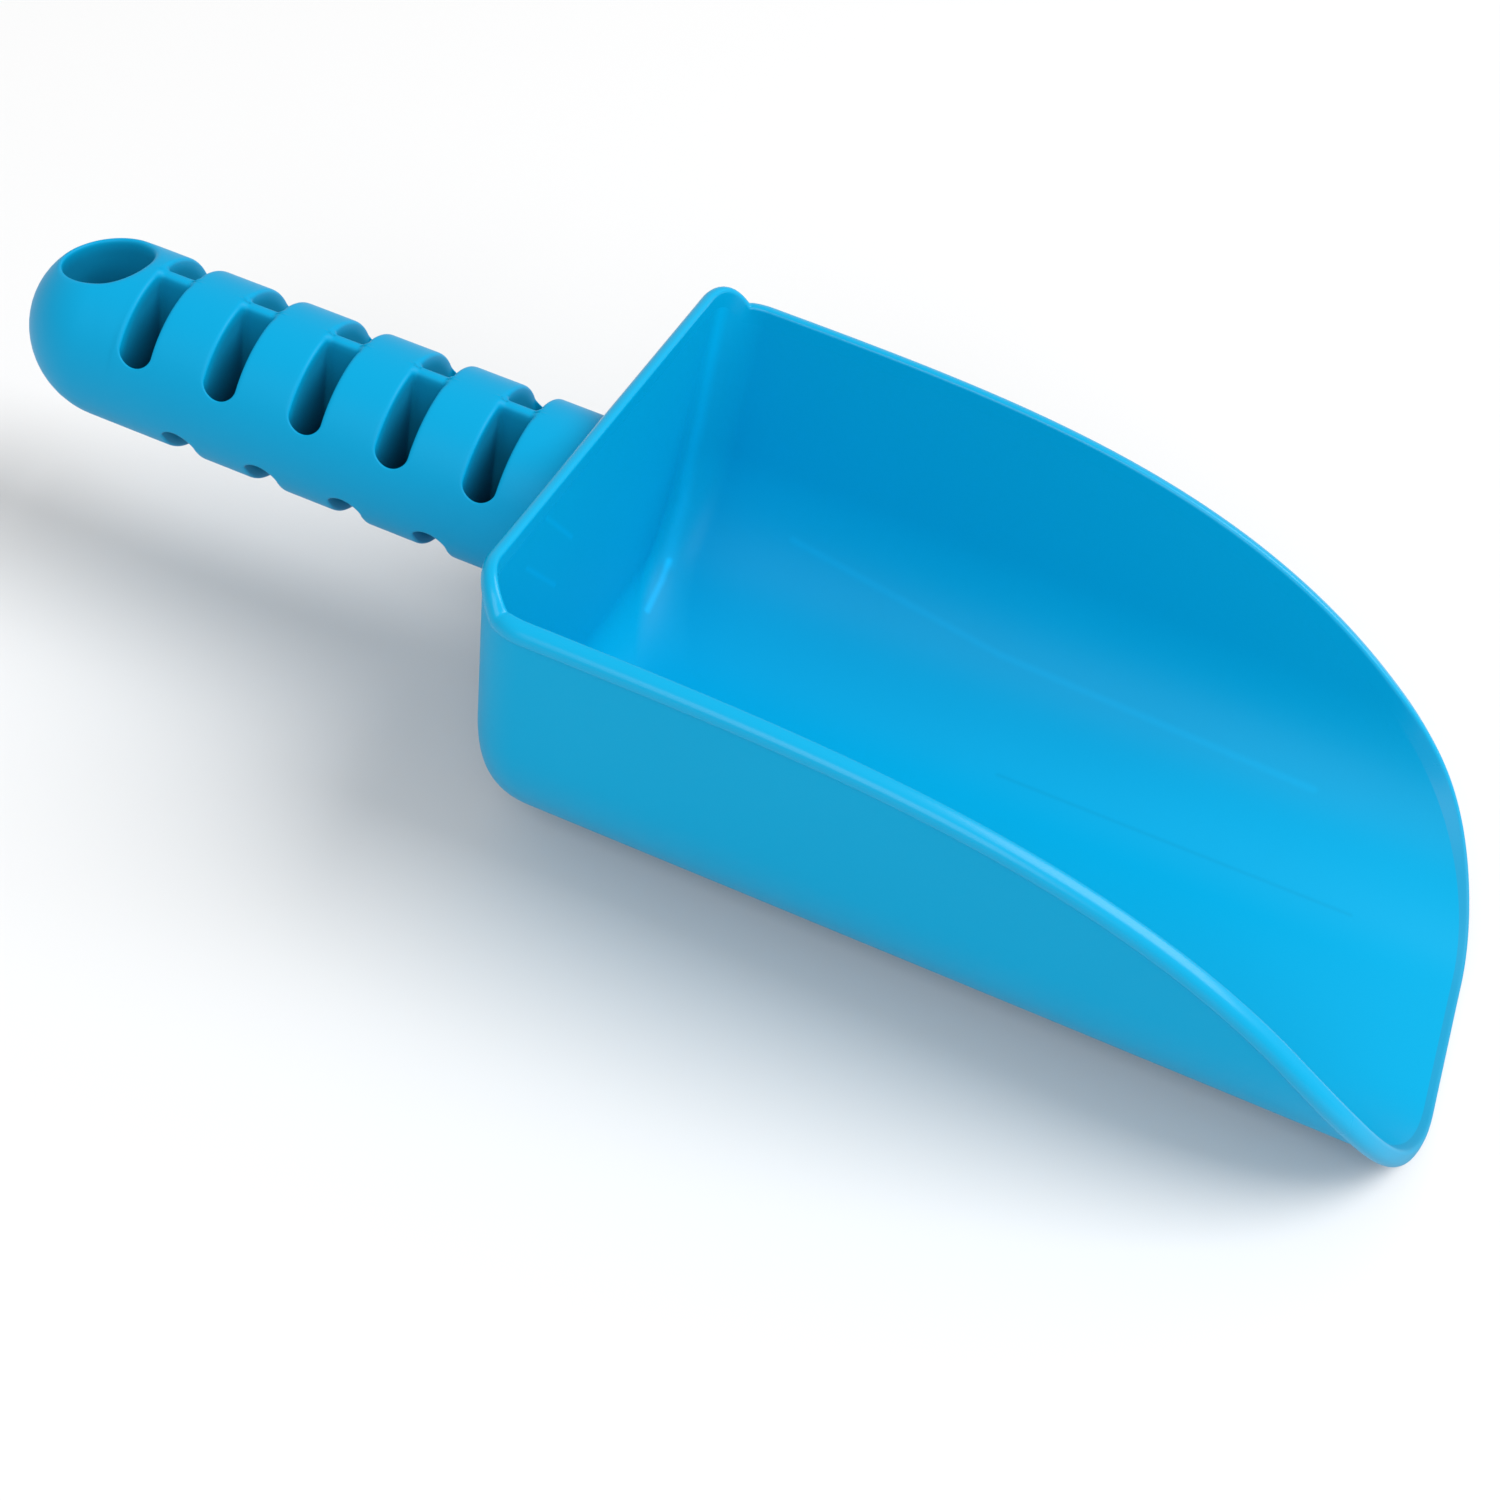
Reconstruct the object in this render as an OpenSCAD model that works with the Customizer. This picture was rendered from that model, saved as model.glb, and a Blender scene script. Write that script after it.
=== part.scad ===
// Sand shovel: a deep scoop with a rolled rim and a round, cored grip.
// The real one is a single plastic moulding. It is drawn here as the walls, rims, rings and
// slot stretches that it is made of, and they meet face to face.
// +X runs forwards to the lip, +Y to the user's left, +Z up from the surface it rests on.

/* [Bowl] */
// Length of the bowl, from the back wall's outer face to the tip of the lip
bowl_len = 183.9; // [160:0.1:200]
// Width between the outer faces of the side walls, where they would meet the ground
bowl_w = 96.1; // [88:0.1:110]
// Height of the rim along the sides, at the back
rim_h = 66.5; // [60:0.1:76]
// Outward lean of each side wall, in degrees
wall_lean = 7.8; // [5:0.1:9]
// Thickness of the bowl's walls and floor
wall_t = 2.4; // [2:0.1:3]
// Outer radius of the curve from the floor up into a side wall
side_r = 39.5; // [34:0.1:42]
// Outer radius of the curve from the floor up into the back wall
back_r = 14.8; // [12:0.1:18]
// Outer radius of the upright corners, seen from above
corner_r = 11.3; // [9:0.1:14]

/* [Rim] */
// Height of the rolled bead on the walls' free edge
bead_h = 3.8; // [3:0.1:4.6]
// How far the bead stands out past the side walls' outer faces
bead_out = 1.3; // [0.8:0.1:1.8]
// How far the bead stands out past the back wall's outer face
bead_out_back = 0.3; // [0.1:0.1:0.8]
// Height of the bead where it runs out into the lip
lip_h = 2; // [1.6:0.1:2.6]
// How much higher the rim is across the back wall than along the sides
back_rise = 4.5; // [2:0.1:6]
// Height above the ground below which the bead thins towards the lip
thin_h = 24; // [16:0.5:34]

/* [Handle] */
// Outer diameter of the handle
handle_d = 35; // [32:0.1:38]
// Wall left between the handle's top and the underside of the back rim
handle_gap = 1.9; // [0.5:0.1:4]
// Thickness of the upright web along the middle of the handle
web_t = 2.4; // [1.8:0.1:3.2]
// Thickness of the curved shell behind each slot
shell_t = 2; // [1.6:0.1:2.6]
// Depth of the web's crest below the rings
web_drop = 0.6; // [0.3:0.1:1.2]

/* [Grip slots] */
// Distance from the back wall to the middle of the first slot
first_slot = 16.35; // [15:0.05:20]
// Spacing of the slots along the handle
slot_pitch = 17.84; // [16.5:0.02:20]
// Width of each slot in the top of the grip
slot_w = 6.5; // [5:0.1:7.2]
// Width of each slot in the underside, one beneath each ring
under_w = 6.5; // [5:0.1:7.2]
// Length of the rounding at each end of a slot, which makes the ends blunt
slot_round = 1.3; // [0.8:0.1:2.4]
// Thickness of the skin outside the rounded ends of a slot's mouth
slot_skin = 1.1; // [0.9:0.1:1.8]

/* [Handle end] */
// Length of the solid end, from the last slot to the tip
end_len = 26.7; // [25:0.1:34]
// Diameter of the hanging hole
hole_d = 17; // [12:0.1:18]
// Wall between the last slot and the hanging hole
hole_wall = 3.6; // [2.4:0.1:4.5]

/* [Hidden] */

// Light blue plastic
plastic = [0.09, 0.62, 0.87];
// Overrun that takes a cut clear past a face
over = 1;
// Smoothness of round bodies
round_fn = 72;

// Number of slots in the top of the grip, with one ring between each two
slot_n = 5;
// The falling rim follows c^nose with c = 1 - t^hold: hold keeps it high at the back, nose rounds it
// in front. A small share of the height follows the lower power c^tip, which squares the lip's corners.
rim_hold = 3.54;
rim_nose = 0.893;
rim_tip = 0.35;
tip_share = 0.03;
// Radius that rounds the bead's inner top corner
bead_in_r = 0.9;
// Share of the bead's height that its crown takes, from the top out to the overhang, and the power of
// the crown's curve (2 is an ellipse)
crown_share = 0.62;
crown_power = 2.2;
// Share of the thinning height below which the bead's overhang runs out
overhang_share = 0.18;
// The back rim's rise starts and ends at these shares of the upright corner's radius
rise_from_share = 0.03;
rise_to_share = 0.56;

// Steps along the falling rim, round each upright corner, and up each curve of the back wall
rim_steps = 44;
corner_steps = 7;
back_steps = 8;
side_steps = 3;
bead_in_steps = 3;
bead_out_steps = 6;

handle_r = handle_d / 2;
core_r = handle_r - shell_t;
slot_reach = handle_r - slot_skin;
slot_mouth = sqrt(handle_r * handle_r - slot_reach * slot_reach);
last_slot_end = first_slot + (slot_n - 1) * slot_pitch + slot_w / 2;
handle_len = last_slot_end + end_len;
hole_x = -(last_slot_end + hole_wall + hole_d / 2);

// The part's origin is on the ground, halfway along its overall length
mid_x = (bowl_len - handle_len) / 2;

// Free edge of the walls, under the bead
edge_h = rim_h - bead_h;
edge_len = bowl_len - lip_h;
axis_h = edge_h + back_rise - handle_gap - handle_r;

// Centre line of the floor-to-wall curve, and the heights where the straight lean starts
side_y = bowl_w / 2 - side_r * cos(wall_lean) + side_r * (1 - sin(wall_lean)) * tan(wall_lean);
side_top = side_r * (1 - sin(wall_lean));
side_in_r = side_r - wall_t;
side_in_top = side_r - side_in_r * sin(wall_lean);
back_in_r = back_r - wall_t;
corner_in_r = corner_r - wall_t;
// The rounded back of the bowl ends here, where the straight walls and the floor take over
back_x = back_r + corner_r;

function unit(v) = v / norm(v);
function smooth(u) = let (c = max(0, min(1, u))) c * c * (3 - 2 * c);

// Half width of the bowl's outer and inner face at height z
function out_y(z) = z < side_top
    ? side_y + sqrt(max(0, side_r * side_r - (side_r - z) * (side_r - z)))
    : bowl_w / 2 + z * tan(wall_lean);
function in_y(z) = z < side_in_top
    ? side_y + sqrt(max(0, side_in_r * side_in_r - (side_r - z) * (side_r - z)))
    : bowl_w / 2 + z * tan(wall_lean) - wall_t / cos(wall_lean);

// Place of the back wall's outer and inner face at height z
function out_x(z) = z < back_r ? back_r - sqrt(max(0, back_r * back_r - (back_r - z) * (back_r - z))) : 0;
function in_x(z) = z < back_r
    ? back_r - sqrt(max(0, back_in_r * back_in_r - (back_r - z) * (back_r - z)))
    : wall_t;

// Angle up the floor-to-wall curve at height z of the outer face: 0 on the floor
function curve_angle(z) = z < side_top ? acos(1 - z / side_r) : 90 - wall_lean;

// Height of the walls' free edge at x, with its rise towards the back wall
function edge_fall(c) = edge_h * ((1 - tip_share) * pow(c, rim_nose) + tip_share * pow(c, rim_tip));
function edge_z(x) = edge_fall(1 - pow(x / edge_len, rim_hold))
    + back_rise * (1 - smooth((x / corner_r - rise_from_share) / (rise_to_share - rise_from_share)));

// A station of the free edge is [outer point, inner point]
function side_station(p) =
    let (x = edge_len * pow(sin(p), 2 / rim_hold), z = edge_fall(pow(cos(p), 2)))
    let (a = curve_angle(z), y = out_y(z))
    [[x, y, z], [x, y - wall_t * sin(a), z + wall_t * cos(a)]];
function back_station(a) =
    let (x = corner_r * (1 - sin(a)), z = edge_z(x), zi = z + wall_t * sin(wall_lean) * cos(a))
    [
        [x, out_y(z) - corner_r * (1 - cos(a)), z],
        [in_x(zi) + corner_in_r * (1 - sin(a)), in_y(zi) - corner_in_r * (1 - cos(a)), zi]
    ];
function flip(s) = [[s[0].x, -s[0].y, s[0].z], [s[1].x, -s[1].y, s[1].z]];

// The free edge from the left end of the lip, round the back wall, to the right end of the lip
back_p = asin(pow(back_x / edge_len, rim_hold / 2));
side_edge = [for (i = [0:rim_steps]) side_station(90 - (90 - back_p) * i / rim_steps)];
back_edge = [for (i = [0:corner_steps]) back_station(90 * i / corner_steps)];
half_edge = concat(side_edge, back_edge);
half_n = len(half_edge);
edge = concat(half_edge, [for (i = [half_n - 1:-1:0]) flip(half_edge[i])]);
edge_n = len(edge);

// Directions at a station: across the wall outwards, and out of the wall's free edge
function across(i) = unit(edge[i][0] - edge[i][1]);
function along(i) = i == 0 || i == edge_n - 1
    ? [0, 1, 0]
    : unit(edge[i + 1][0] - edge[i - 1][0]);
function upward(i) = unit(cross(across(i), along(i) * (i == edge_n - 1 ? -1 : 1)));

// Size of the bead at a station: it thins towards the lip, and stands out less across the back
function bead_size(z) = lip_h + (bead_h - lip_h) * smooth(z / thin_h);
function bead_reach(x, z) = smooth(z / (thin_h * overhang_share))
    * (bead_out_back + (bead_out - bead_out_back) * smooth(x / corner_r));

// Outline of the bead: [distance across from the wall's outer face, distance out of the edge].
// A small round inside, a long crown that falls to the overhang, and a foot that slopes back in.
function crown_arc(t) = 1 - pow(t, 2 / crown_power);
function bead_outline(w, out, h) =
    concat(
        [[-w, 0]],
        [for (i = [0:bead_in_steps]) let (a = 90 * i / bead_in_steps)
            [-w + bead_in_r * crown_arc(cos(a)), h - bead_in_r * crown_arc(sin(a))]],
        [for (i = [1:bead_out_steps]) let (a = 90 * i / bead_out_steps)
            [out - (out + w - bead_in_r) * crown_arc(sin(a)), h - crown_share * h * crown_arc(cos(a))]],
        [[0, 0]]
    );

function bead_ring(i) =
    let (o = edge[i][0], n = across(i), u = upward(i), w = norm(edge[i][0] - edge[i][1]))
    [for (q = bead_outline(w, bead_reach(o.x, o.z), bead_size(o.z))) o + n * q.x + u * q.y];

// A stretch of bead from station a to station b
module bead(a, b) {
    rings = [for (i = [a:b]) bead_ring(i)];
    k = len(rings[0]);
    m = len(rings);
    sides = [for (j = [0:m - 2]) for (i = [0:k - 1])
        let (p = j * k + i, q = j * k + (i + 1) % k)
        each [[p, q + k, q], [p, p + k, q + k]]];
    first = [for (i = [0:k - 1]) i];
    last = [for (i = [k - 1:-1:0]) (m - 1) * k + i];
    polyhedron(points = [for (r = rings) each r], faces = concat(sides, [first], [last]));
}

// One side wall with the curve up from the floor, from the bowl's back part to its free edge
module side_wall() {
    n = rim_steps;
    points = [for (i = [0:n]) let (o = side_edge[i][0], u = side_edge[i][1])
        each [o, u, [back_x, o.y, o.z], [back_x, u.y, u.z]]];
    // The last station is the back plane itself, so its two rear points aren't used
    function rear(i) = i == n ? 4 * n : 4 * i + 2;
    function rear_in(i) = i == n ? 4 * n + 1 : 4 * i + 3;
    outer = [for (i = [0:n - 1]) each
        i == n - 1
        ? [[4 * i, 4 * i + 4, rear(i)]]
        : [[4 * i, rear(i + 1), rear(i)], [4 * i, 4 * i + 4, rear(i + 1)]]];
    inner = [for (i = [0:n - 1]) each
        i == n - 1
        ? [[4 * i + 1, rear_in(i), 4 * i + 5]]
        : [[4 * i + 1, rear_in(i), rear_in(i + 1)], [4 * i + 1, rear_in(i + 1), 4 * i + 5]]];
    free_edge = [for (i = [0:n - 1]) each [[4 * i, 4 * i + 5, 4 * i + 4], [4 * i, 4 * i + 1, 4 * i + 5]]];
    rear_face = [for (i = [0:n - 1]) each
        [[rear(i), rear_in(i + 1), rear_in(i)], [rear(i), rear(i + 1), rear_in(i + 1)]]];
    foot = [[0, rear_in(0), 1], [0, rear(0), rear_in(0)]];
    polyhedron(points = points, faces = concat(outer, inner, free_edge, rear_face, foot));
}

// The back of the bowl: its wall, both upright corners and the curve up from the floor
module back_shell() {
    outer_z = concat(
        [for (i = [0:back_steps]) back_r * (1 - cos(90 * i / back_steps))],
        [for (i = [1:side_steps]) let (a = curve_angle(back_r))
            side_r * (1 - cos(a + (90 - wall_lean - a) * i / side_steps))]
    );
    inner_z = concat(
        [for (i = [0:back_steps]) back_r - back_in_r * cos(90 * i / back_steps)],
        [for (i = [1:side_steps]) let (a = acos((side_r - back_r) / side_in_r))
            side_r - side_in_r * cos(a + (90 - wall_lean - a) * i / side_steps)]
    );
    // Columns from the left wall round the back to the right wall, as [angle, side]
    left = [for (i = [0:corner_steps]) 90 * i / corner_steps];
    columns = concat(
        [[-1, 1]], [for (a = left) [a, 1]],
        [for (i = [corner_steps:-1:0]) [left[i], -1]], [[-1, -1]]
    );
    m = len(columns);
    rows = len(outer_z) + 1;
    function outer_point(c, z) = c[0] < 0
        ? [back_x, c[1] * out_y(z), z]
        : [out_x(z) + corner_r * (1 - sin(c[0])), c[1] * (out_y(z) - corner_r * (1 - cos(c[0]))), z];
    function inner_point(c, z) = c[0] < 0
        ? [back_x, c[1] * in_y(z), z]
        : [in_x(z) + corner_in_r * (1 - sin(c[0])), c[1] * (in_y(z) - corner_in_r * (1 - cos(c[0]))), z];
    top = [for (i = [0:m - 1]) edge[rim_steps + i]];
    outer = concat(
        [for (z = outer_z) for (c = columns) outer_point(c, z)],
        [for (s = top) s[0]]
    );
    inner = concat(
        [for (z = inner_z) for (c = columns) inner_point(c, z)],
        [for (s = top) s[1]]
    );
    o = rows * m;
    grid = [for (r = [0:rows - 2]) for (i = [0:m - 2]) let (a = r * m + i) [a, a + 1, a + m + 1, a + m]];
    outside = [for (q = grid) each [[q[0], q[2], q[1]], [q[0], q[3], q[2]]]];
    inside = [for (q = grid) each [[q[0] + o, q[1] + o, q[2] + o], [q[0] + o, q[2] + o, q[3] + o]]];
    free_edge = [for (i = [0:m - 2])
        let (a = (rows - 1) * m + i)
        each [[a, a + 1 + o, a + 1], [a, a + o, a + 1 + o]]];
    ends = [for (r = [0:rows - 2])
        let (a = r * m, b = a + m - 1)
        each [[a, a + o, a + m + o], [a, a + m + o, a + m], [b, b + m + o, b + o], [b, b + m, b + m + o]]];
    under = [[for (i = [0:m - 1]) i]];
    upper = [[for (i = [m - 1:-1:0]) i + o]];
    front = [[0, m - 1, m - 1 + o], [0, m - 1 + o, o]];
    faces = concat(outside, inside, free_edge, ends, under, upper, front);
    polyhedron(points = concat(outer, inner), faces = faces);
}

// Cross section of a slot, seen along the handle: straight sides that narrow downwards, round base
module slot_section() {
    difference() {
        circle(r = core_r, $fn = round_fn);
        translate([-handle_r, 0]) square([handle_d, handle_r]);
    }
    polygon([
        [-core_r, 0], [core_r, 0], [slot_reach, slot_mouth], [slot_reach, handle_r + over],
        [-slot_reach, handle_r + over], [-slot_reach, slot_mouth]
    ]);
}

// The two pockets of one slot, either side of the web, open at the top and centred on x = 0.
// past lets their straight sides run on through the ends of a stretch that is as long as the slot.
module slot_pockets(w, past = 0) {
    difference() {
        intersection() {
            rotate([90, 0, 90]) linear_extrude(w + past, center = true) slot_section();
            linear_extrude(2 * (handle_d + over), center = true) {
                square([w + past, 2 * (slot_reach - slot_round)], center = true);
                for (s = [-1, 1])
                    translate([0, s * (slot_reach - slot_round)]) scale([1, slot_round * 2 / w])
                        circle(d = w, $fn = round_fn);
            }
        }
        cube([w + past + over, web_t, 2 * (handle_d + over)], center = true);
    }
}

// A length of the round handle from x = a to x = b
module bar(a, b) {
    translate([a, 0, 0]) rotate([0, 90, 0]) cylinder(h = b - a, r = handle_r, $fn = round_fn);
}

// Puts a piece of the handle on its axis
module on_axis() {
    translate([0, 0, axis_h]) children();
}

function slot_x(i) = -(first_slot + i * slot_pitch);

module bowl_floor() {
    color(plastic) translate([back_x, -side_y, 0]) cube([edge_len - back_x, 2 * side_y, wall_t]);
}

module left_wall() {
    color(plastic) side_wall();
}

module right_wall() {
    color(plastic) mirror([0, 1, 0]) side_wall();
}

module back_wall() {
    color(plastic) back_shell();
}

module rim_left() {
    color(plastic) bead(0, rim_steps);
}

module rim_right() {
    color(plastic) mirror([0, 1, 0]) bead(0, rim_steps);
}

module rim_back() {
    color(plastic) bead(rim_steps, edge_n - 1 - rim_steps);
}

// The lip carries the bead's outline straight across the front of the floor
module front_lip() {
    outline = [for (q = bead_outline(wall_t, bead_reach(edge_len, 0), bead_size(0))) [edge_len + q.y, -q.x]];
    color(plastic) rotate([90, 0, 0]) linear_extrude(2 * side_y, center = true) polygon(outline);
}

// The handle's stub on the back wall, cored from below like the rings
module handle_root() {
    color(plastic) on_axis() difference() {
        bar(slot_x(0) + slot_w / 2, 0);
        translate([slot_x(0) + slot_pitch / 2, 0, 0]) mirror([0, 0, 1]) slot_pockets(under_w);
    }
}

// The stretch of handle at slot i: the web, the skin and the curved shell under the two pockets
module grip_slot(i) {
    color(plastic) on_axis() translate([slot_x(i), 0, 0]) difference() {
        bar(-slot_w / 2, slot_w / 2);
        slot_pockets(slot_w, past = over);
        translate([-slot_w, -web_t, handle_r - web_drop]) cube([2 * slot_w, 2 * web_t, web_drop + over]);
    }
}

// The ring between slots i - 1 and i, with its own pockets in the underside
module grip_ring(i) {
    color(plastic) on_axis() translate([slot_x(i) + slot_pitch / 2, 0, 0]) difference() {
        bar(-(slot_pitch - slot_w) / 2, (slot_pitch - slot_w) / 2);
        mirror([0, 0, 1]) slot_pockets(under_w);
    }
}

// The domed end with the round hole to hang the shovel by
module handle_end() {
    color(plastic) on_axis() difference() {
        translate([-last_slot_end, 0, 0]) rotate([0, -90, 0]) rotate_extrude($fn = round_fn) {
            square([handle_r, end_len - handle_r]);
            intersection() {
                translate([0, end_len - handle_r]) circle(r = handle_r, $fn = round_fn);
                square([handle_r, end_len]);
            }
        }
        translate([hole_x, 0, 0])
            cylinder(h = handle_d + 2 * over, d = hole_d, center = true, $fn = round_fn);
    }
}

// Every piece is drawn from the back wall's outer face and moved to the part's origin
module place() {
    translate([-mid_x, 0, 0]) children();
}

place() bowl_floor();
place() left_wall();
place() right_wall();
place() back_wall();
place() rim_left();
place() rim_right();
place() rim_back();
place() front_lip();
place() handle_root();
place() grip_slot(0);  // grip_slot_1
place() grip_slot(1);  // grip_slot_2
place() grip_slot(2);  // grip_slot_3
place() grip_slot(3);  // grip_slot_4
place() grip_slot(4);  // grip_slot_5
place() grip_ring(1);  // grip_ring_1
place() grip_ring(2);  // grip_ring_2
place() grip_ring(3);  // grip_ring_3
place() grip_ring(4);  // grip_ring_4
place() handle_end();
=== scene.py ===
"""Looks of a one-piece sand shovel: a deep beaded bowl on a round, slotted grip.

Every form is a surface worked out with numpy. Lengths are in millimetres in the maker's frame, whose
origin is on the back wall's outer face at ground level: +X runs to the lip, +Y to the user's left and
+Z up. Points are moved to the part's own origin and turned into metres when a mesh is made.
"""
from __future__ import annotations

import logging
import math
from abc import ABC, abstractmethod
from dataclasses import dataclass, field
from enum import Enum
from functools import reduce

import bmesh
import bpy
import numpy as np
from mathutils import Matrix, Vector

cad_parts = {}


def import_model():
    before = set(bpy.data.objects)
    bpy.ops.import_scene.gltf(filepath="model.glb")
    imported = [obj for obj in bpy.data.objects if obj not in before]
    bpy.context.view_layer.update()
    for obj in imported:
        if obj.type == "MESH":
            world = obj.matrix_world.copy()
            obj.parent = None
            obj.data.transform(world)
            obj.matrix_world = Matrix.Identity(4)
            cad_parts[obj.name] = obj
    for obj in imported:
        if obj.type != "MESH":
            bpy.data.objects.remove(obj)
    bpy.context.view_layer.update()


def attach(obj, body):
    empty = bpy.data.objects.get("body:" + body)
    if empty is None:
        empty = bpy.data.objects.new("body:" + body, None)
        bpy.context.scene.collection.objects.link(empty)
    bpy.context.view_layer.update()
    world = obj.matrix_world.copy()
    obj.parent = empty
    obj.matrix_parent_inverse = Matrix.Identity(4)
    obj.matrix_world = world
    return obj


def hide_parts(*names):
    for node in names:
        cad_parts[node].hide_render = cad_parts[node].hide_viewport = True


LOG = logging.getLogger("sand_shovel")
BODY = "root"
# Metres in a millimetre.
METRES = 0.001
# Stands in for a length of nought where it would be a divisor.
TINY = 1e-9


def smooth(u: np.ndarray | float) -> np.ndarray:
    """Smooth step: 3u^2 - 2u^3 with u held between 0 and 1."""
    c = np.clip(u, 0.0, 1.0)
    return c * c * (3.0 - 2.0 * c)


def soft_min(a: np.ndarray, b: np.ndarray, width: float) -> np.ndarray:
    """The lesser of a and b, less a parabola that rounds the corner where they come within width."""
    near = np.clip(width - np.abs(a - b), 0.0, None) / width
    return np.minimum(a, b) - near * near * width / 4.0


def unit(v: np.ndarray) -> np.ndarray:
    """Each vector of the last axis divided by its length."""
    return v / np.maximum(np.linalg.norm(v, axis=-1, keepdims=True), TINY)


def by_arc_length(path: np.ndarray, shares: np.ndarray) -> np.ndarray:
    """Finds where along a sampled path given shares of its length fall.

    Args:
        path: points of the path, one row each.
        shares: wanted shares of the whole length, from 0 to 1.

    Returns:
        Positions along the path's samples, as shares of the number of steps.
    """
    step = np.linalg.norm(np.diff(path, axis=0), axis=1)
    length = np.concatenate([[0.0], np.cumsum(step)])
    return np.interp(shares * length[-1], length, np.linspace(0.0, 1.0, len(path)))


class Turn(Enum):
    """Which way round a grid's faces are wound."""

    ROWS_THEN_ROUND = 1
    ROUND_THEN_ROWS = 2


@dataclass
class Skin:
    """A closed surface under construction.

    Attributes:
        origin: the part's origin in the maker's frame, in millimetres.
        points: blocks of points, in millimetres.
        faces: tuples of point numbers.
        flat: numbers of the faces that are shaded flat.
        count: how many points there are so far.
    """

    origin: tuple[float, float, float]
    points: list[np.ndarray] = field(default_factory=list)
    faces: list[tuple[int, ...]] = field(default_factory=list)
    flat: set[int] = field(default_factory=set)
    count: int = 0

    def add_points(self, block: np.ndarray) -> np.ndarray:
        """Adds points.

        Args:
            block: an array of them whose last axis is x, y, z.

        Returns:
            Their numbers, in the array's shape without its last axis.
        """
        rows = block.reshape(-1, 3)
        self.points.append(rows)
        numbers = np.arange(self.count, self.count + len(rows)).reshape(block.shape[:-1])
        self.count += len(rows)
        return numbers

    def add_quads(self, numbers: np.ndarray, turn: Turn, closed: bool) -> None:
        """Fills a grid of point numbers with quads.

        Args:
            numbers: point numbers, first axis round the form, second axis along its rows.
            turn: the winding that makes the faces point outwards.
            closed: whether the first axis joins up with its own start.
        """
        here = numbers if closed else numbers[:-1]
        there = np.roll(numbers, -1, axis=0) if closed else numbers[1:]
        quads = np.stack([here[:, :-1], here[:, 1:], there[:, 1:], there[:, :-1]], axis=-1).reshape(-1, 4)
        if turn is Turn.ROUND_THEN_ROWS:
            quads = quads[:, ::-1]
        self.faces.extend(map(tuple, quads.tolist()))

    def add_band(self, first: np.ndarray, second: np.ndarray) -> None:
        """Joins two closed rows of points with a band of flat faces.

        Args:
            first: the first row's point numbers.
            second: the second row's.
        """
        start = len(self.faces)
        self.add_quads(np.stack([first, second], axis=1), Turn.ROWS_THEN_ROUND, closed=True)
        self.flat.update(range(start, len(self.faces)))

    def add_cap(self, loop: np.ndarray) -> None:
        """Closes a loop of point numbers with one flat face."""
        self.flat.add(len(self.faces))
        self.faces.append(tuple(loop.tolist()))

    def to_object(
        self, name: str, weld: float = 0.0, normals: np.ndarray | None = None
    ) -> bpy.types.Object:
        """Makes the mesh object.

        Args:
            name: the piece's name.
            weld: points closer than this are joined, in millimetres; 0 leaves them apart.
            normals: a normal for each point, kept for its smooth faces, or None to take the mesh's own.

        Returns:
            The new object, at the origin, with its place in its mesh.
        """
        mesh = bpy.data.meshes.new(name)
        places = (np.concatenate(self.points) - np.array(self.origin)) * METRES
        mesh.from_pydata(places.tolist(), [], self.faces)
        mesh.polygons.foreach_set("use_smooth", [i not in self.flat for i in range(len(self.faces))])
        if weld > 0.0:
            shape = bmesh.new()
            shape.from_mesh(mesh)
            bmesh.ops.remove_doubles(shape, verts=shape.verts, dist=weld * METRES)
            shape.to_mesh(mesh)
            shape.free()
        mesh.update()
        if normals is not None:
            self._keep_normals(mesh, normals)
        piece = bpy.data.objects.new(name, mesh)
        bpy.context.scene.collection.objects.link(piece)
        LOG.info("%s: %d faces", name, len(mesh.polygons))
        return piece

    @staticmethod
    def _keep_normals(mesh: bpy.types.Mesh, normals: np.ndarray) -> None:
        """Gives smooth faces the surface's own normals, and flat faces theirs.

        Args:
            mesh: the finished mesh.
            normals: one normal for each vertex.
        """
        vertex = np.zeros(len(mesh.loops), np.int32)
        mesh.loops.foreach_get("vertex_index", vertex)
        sizes = np.zeros(len(mesh.polygons), np.int32)
        mesh.polygons.foreach_get("loop_total", sizes)
        face = np.repeat(np.arange(len(mesh.polygons)), sizes)
        rounded = np.zeros(len(mesh.polygons), bool)
        mesh.polygons.foreach_get("use_smooth", rounded)
        own = np.zeros(len(mesh.polygons) * 3)
        mesh.polygons.foreach_get("normal", own)
        out = np.where(rounded[face][:, None], normals[vertex], own.reshape(-1, 3)[face])
        mesh.normals_split_custom_set(out.tolist())


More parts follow.
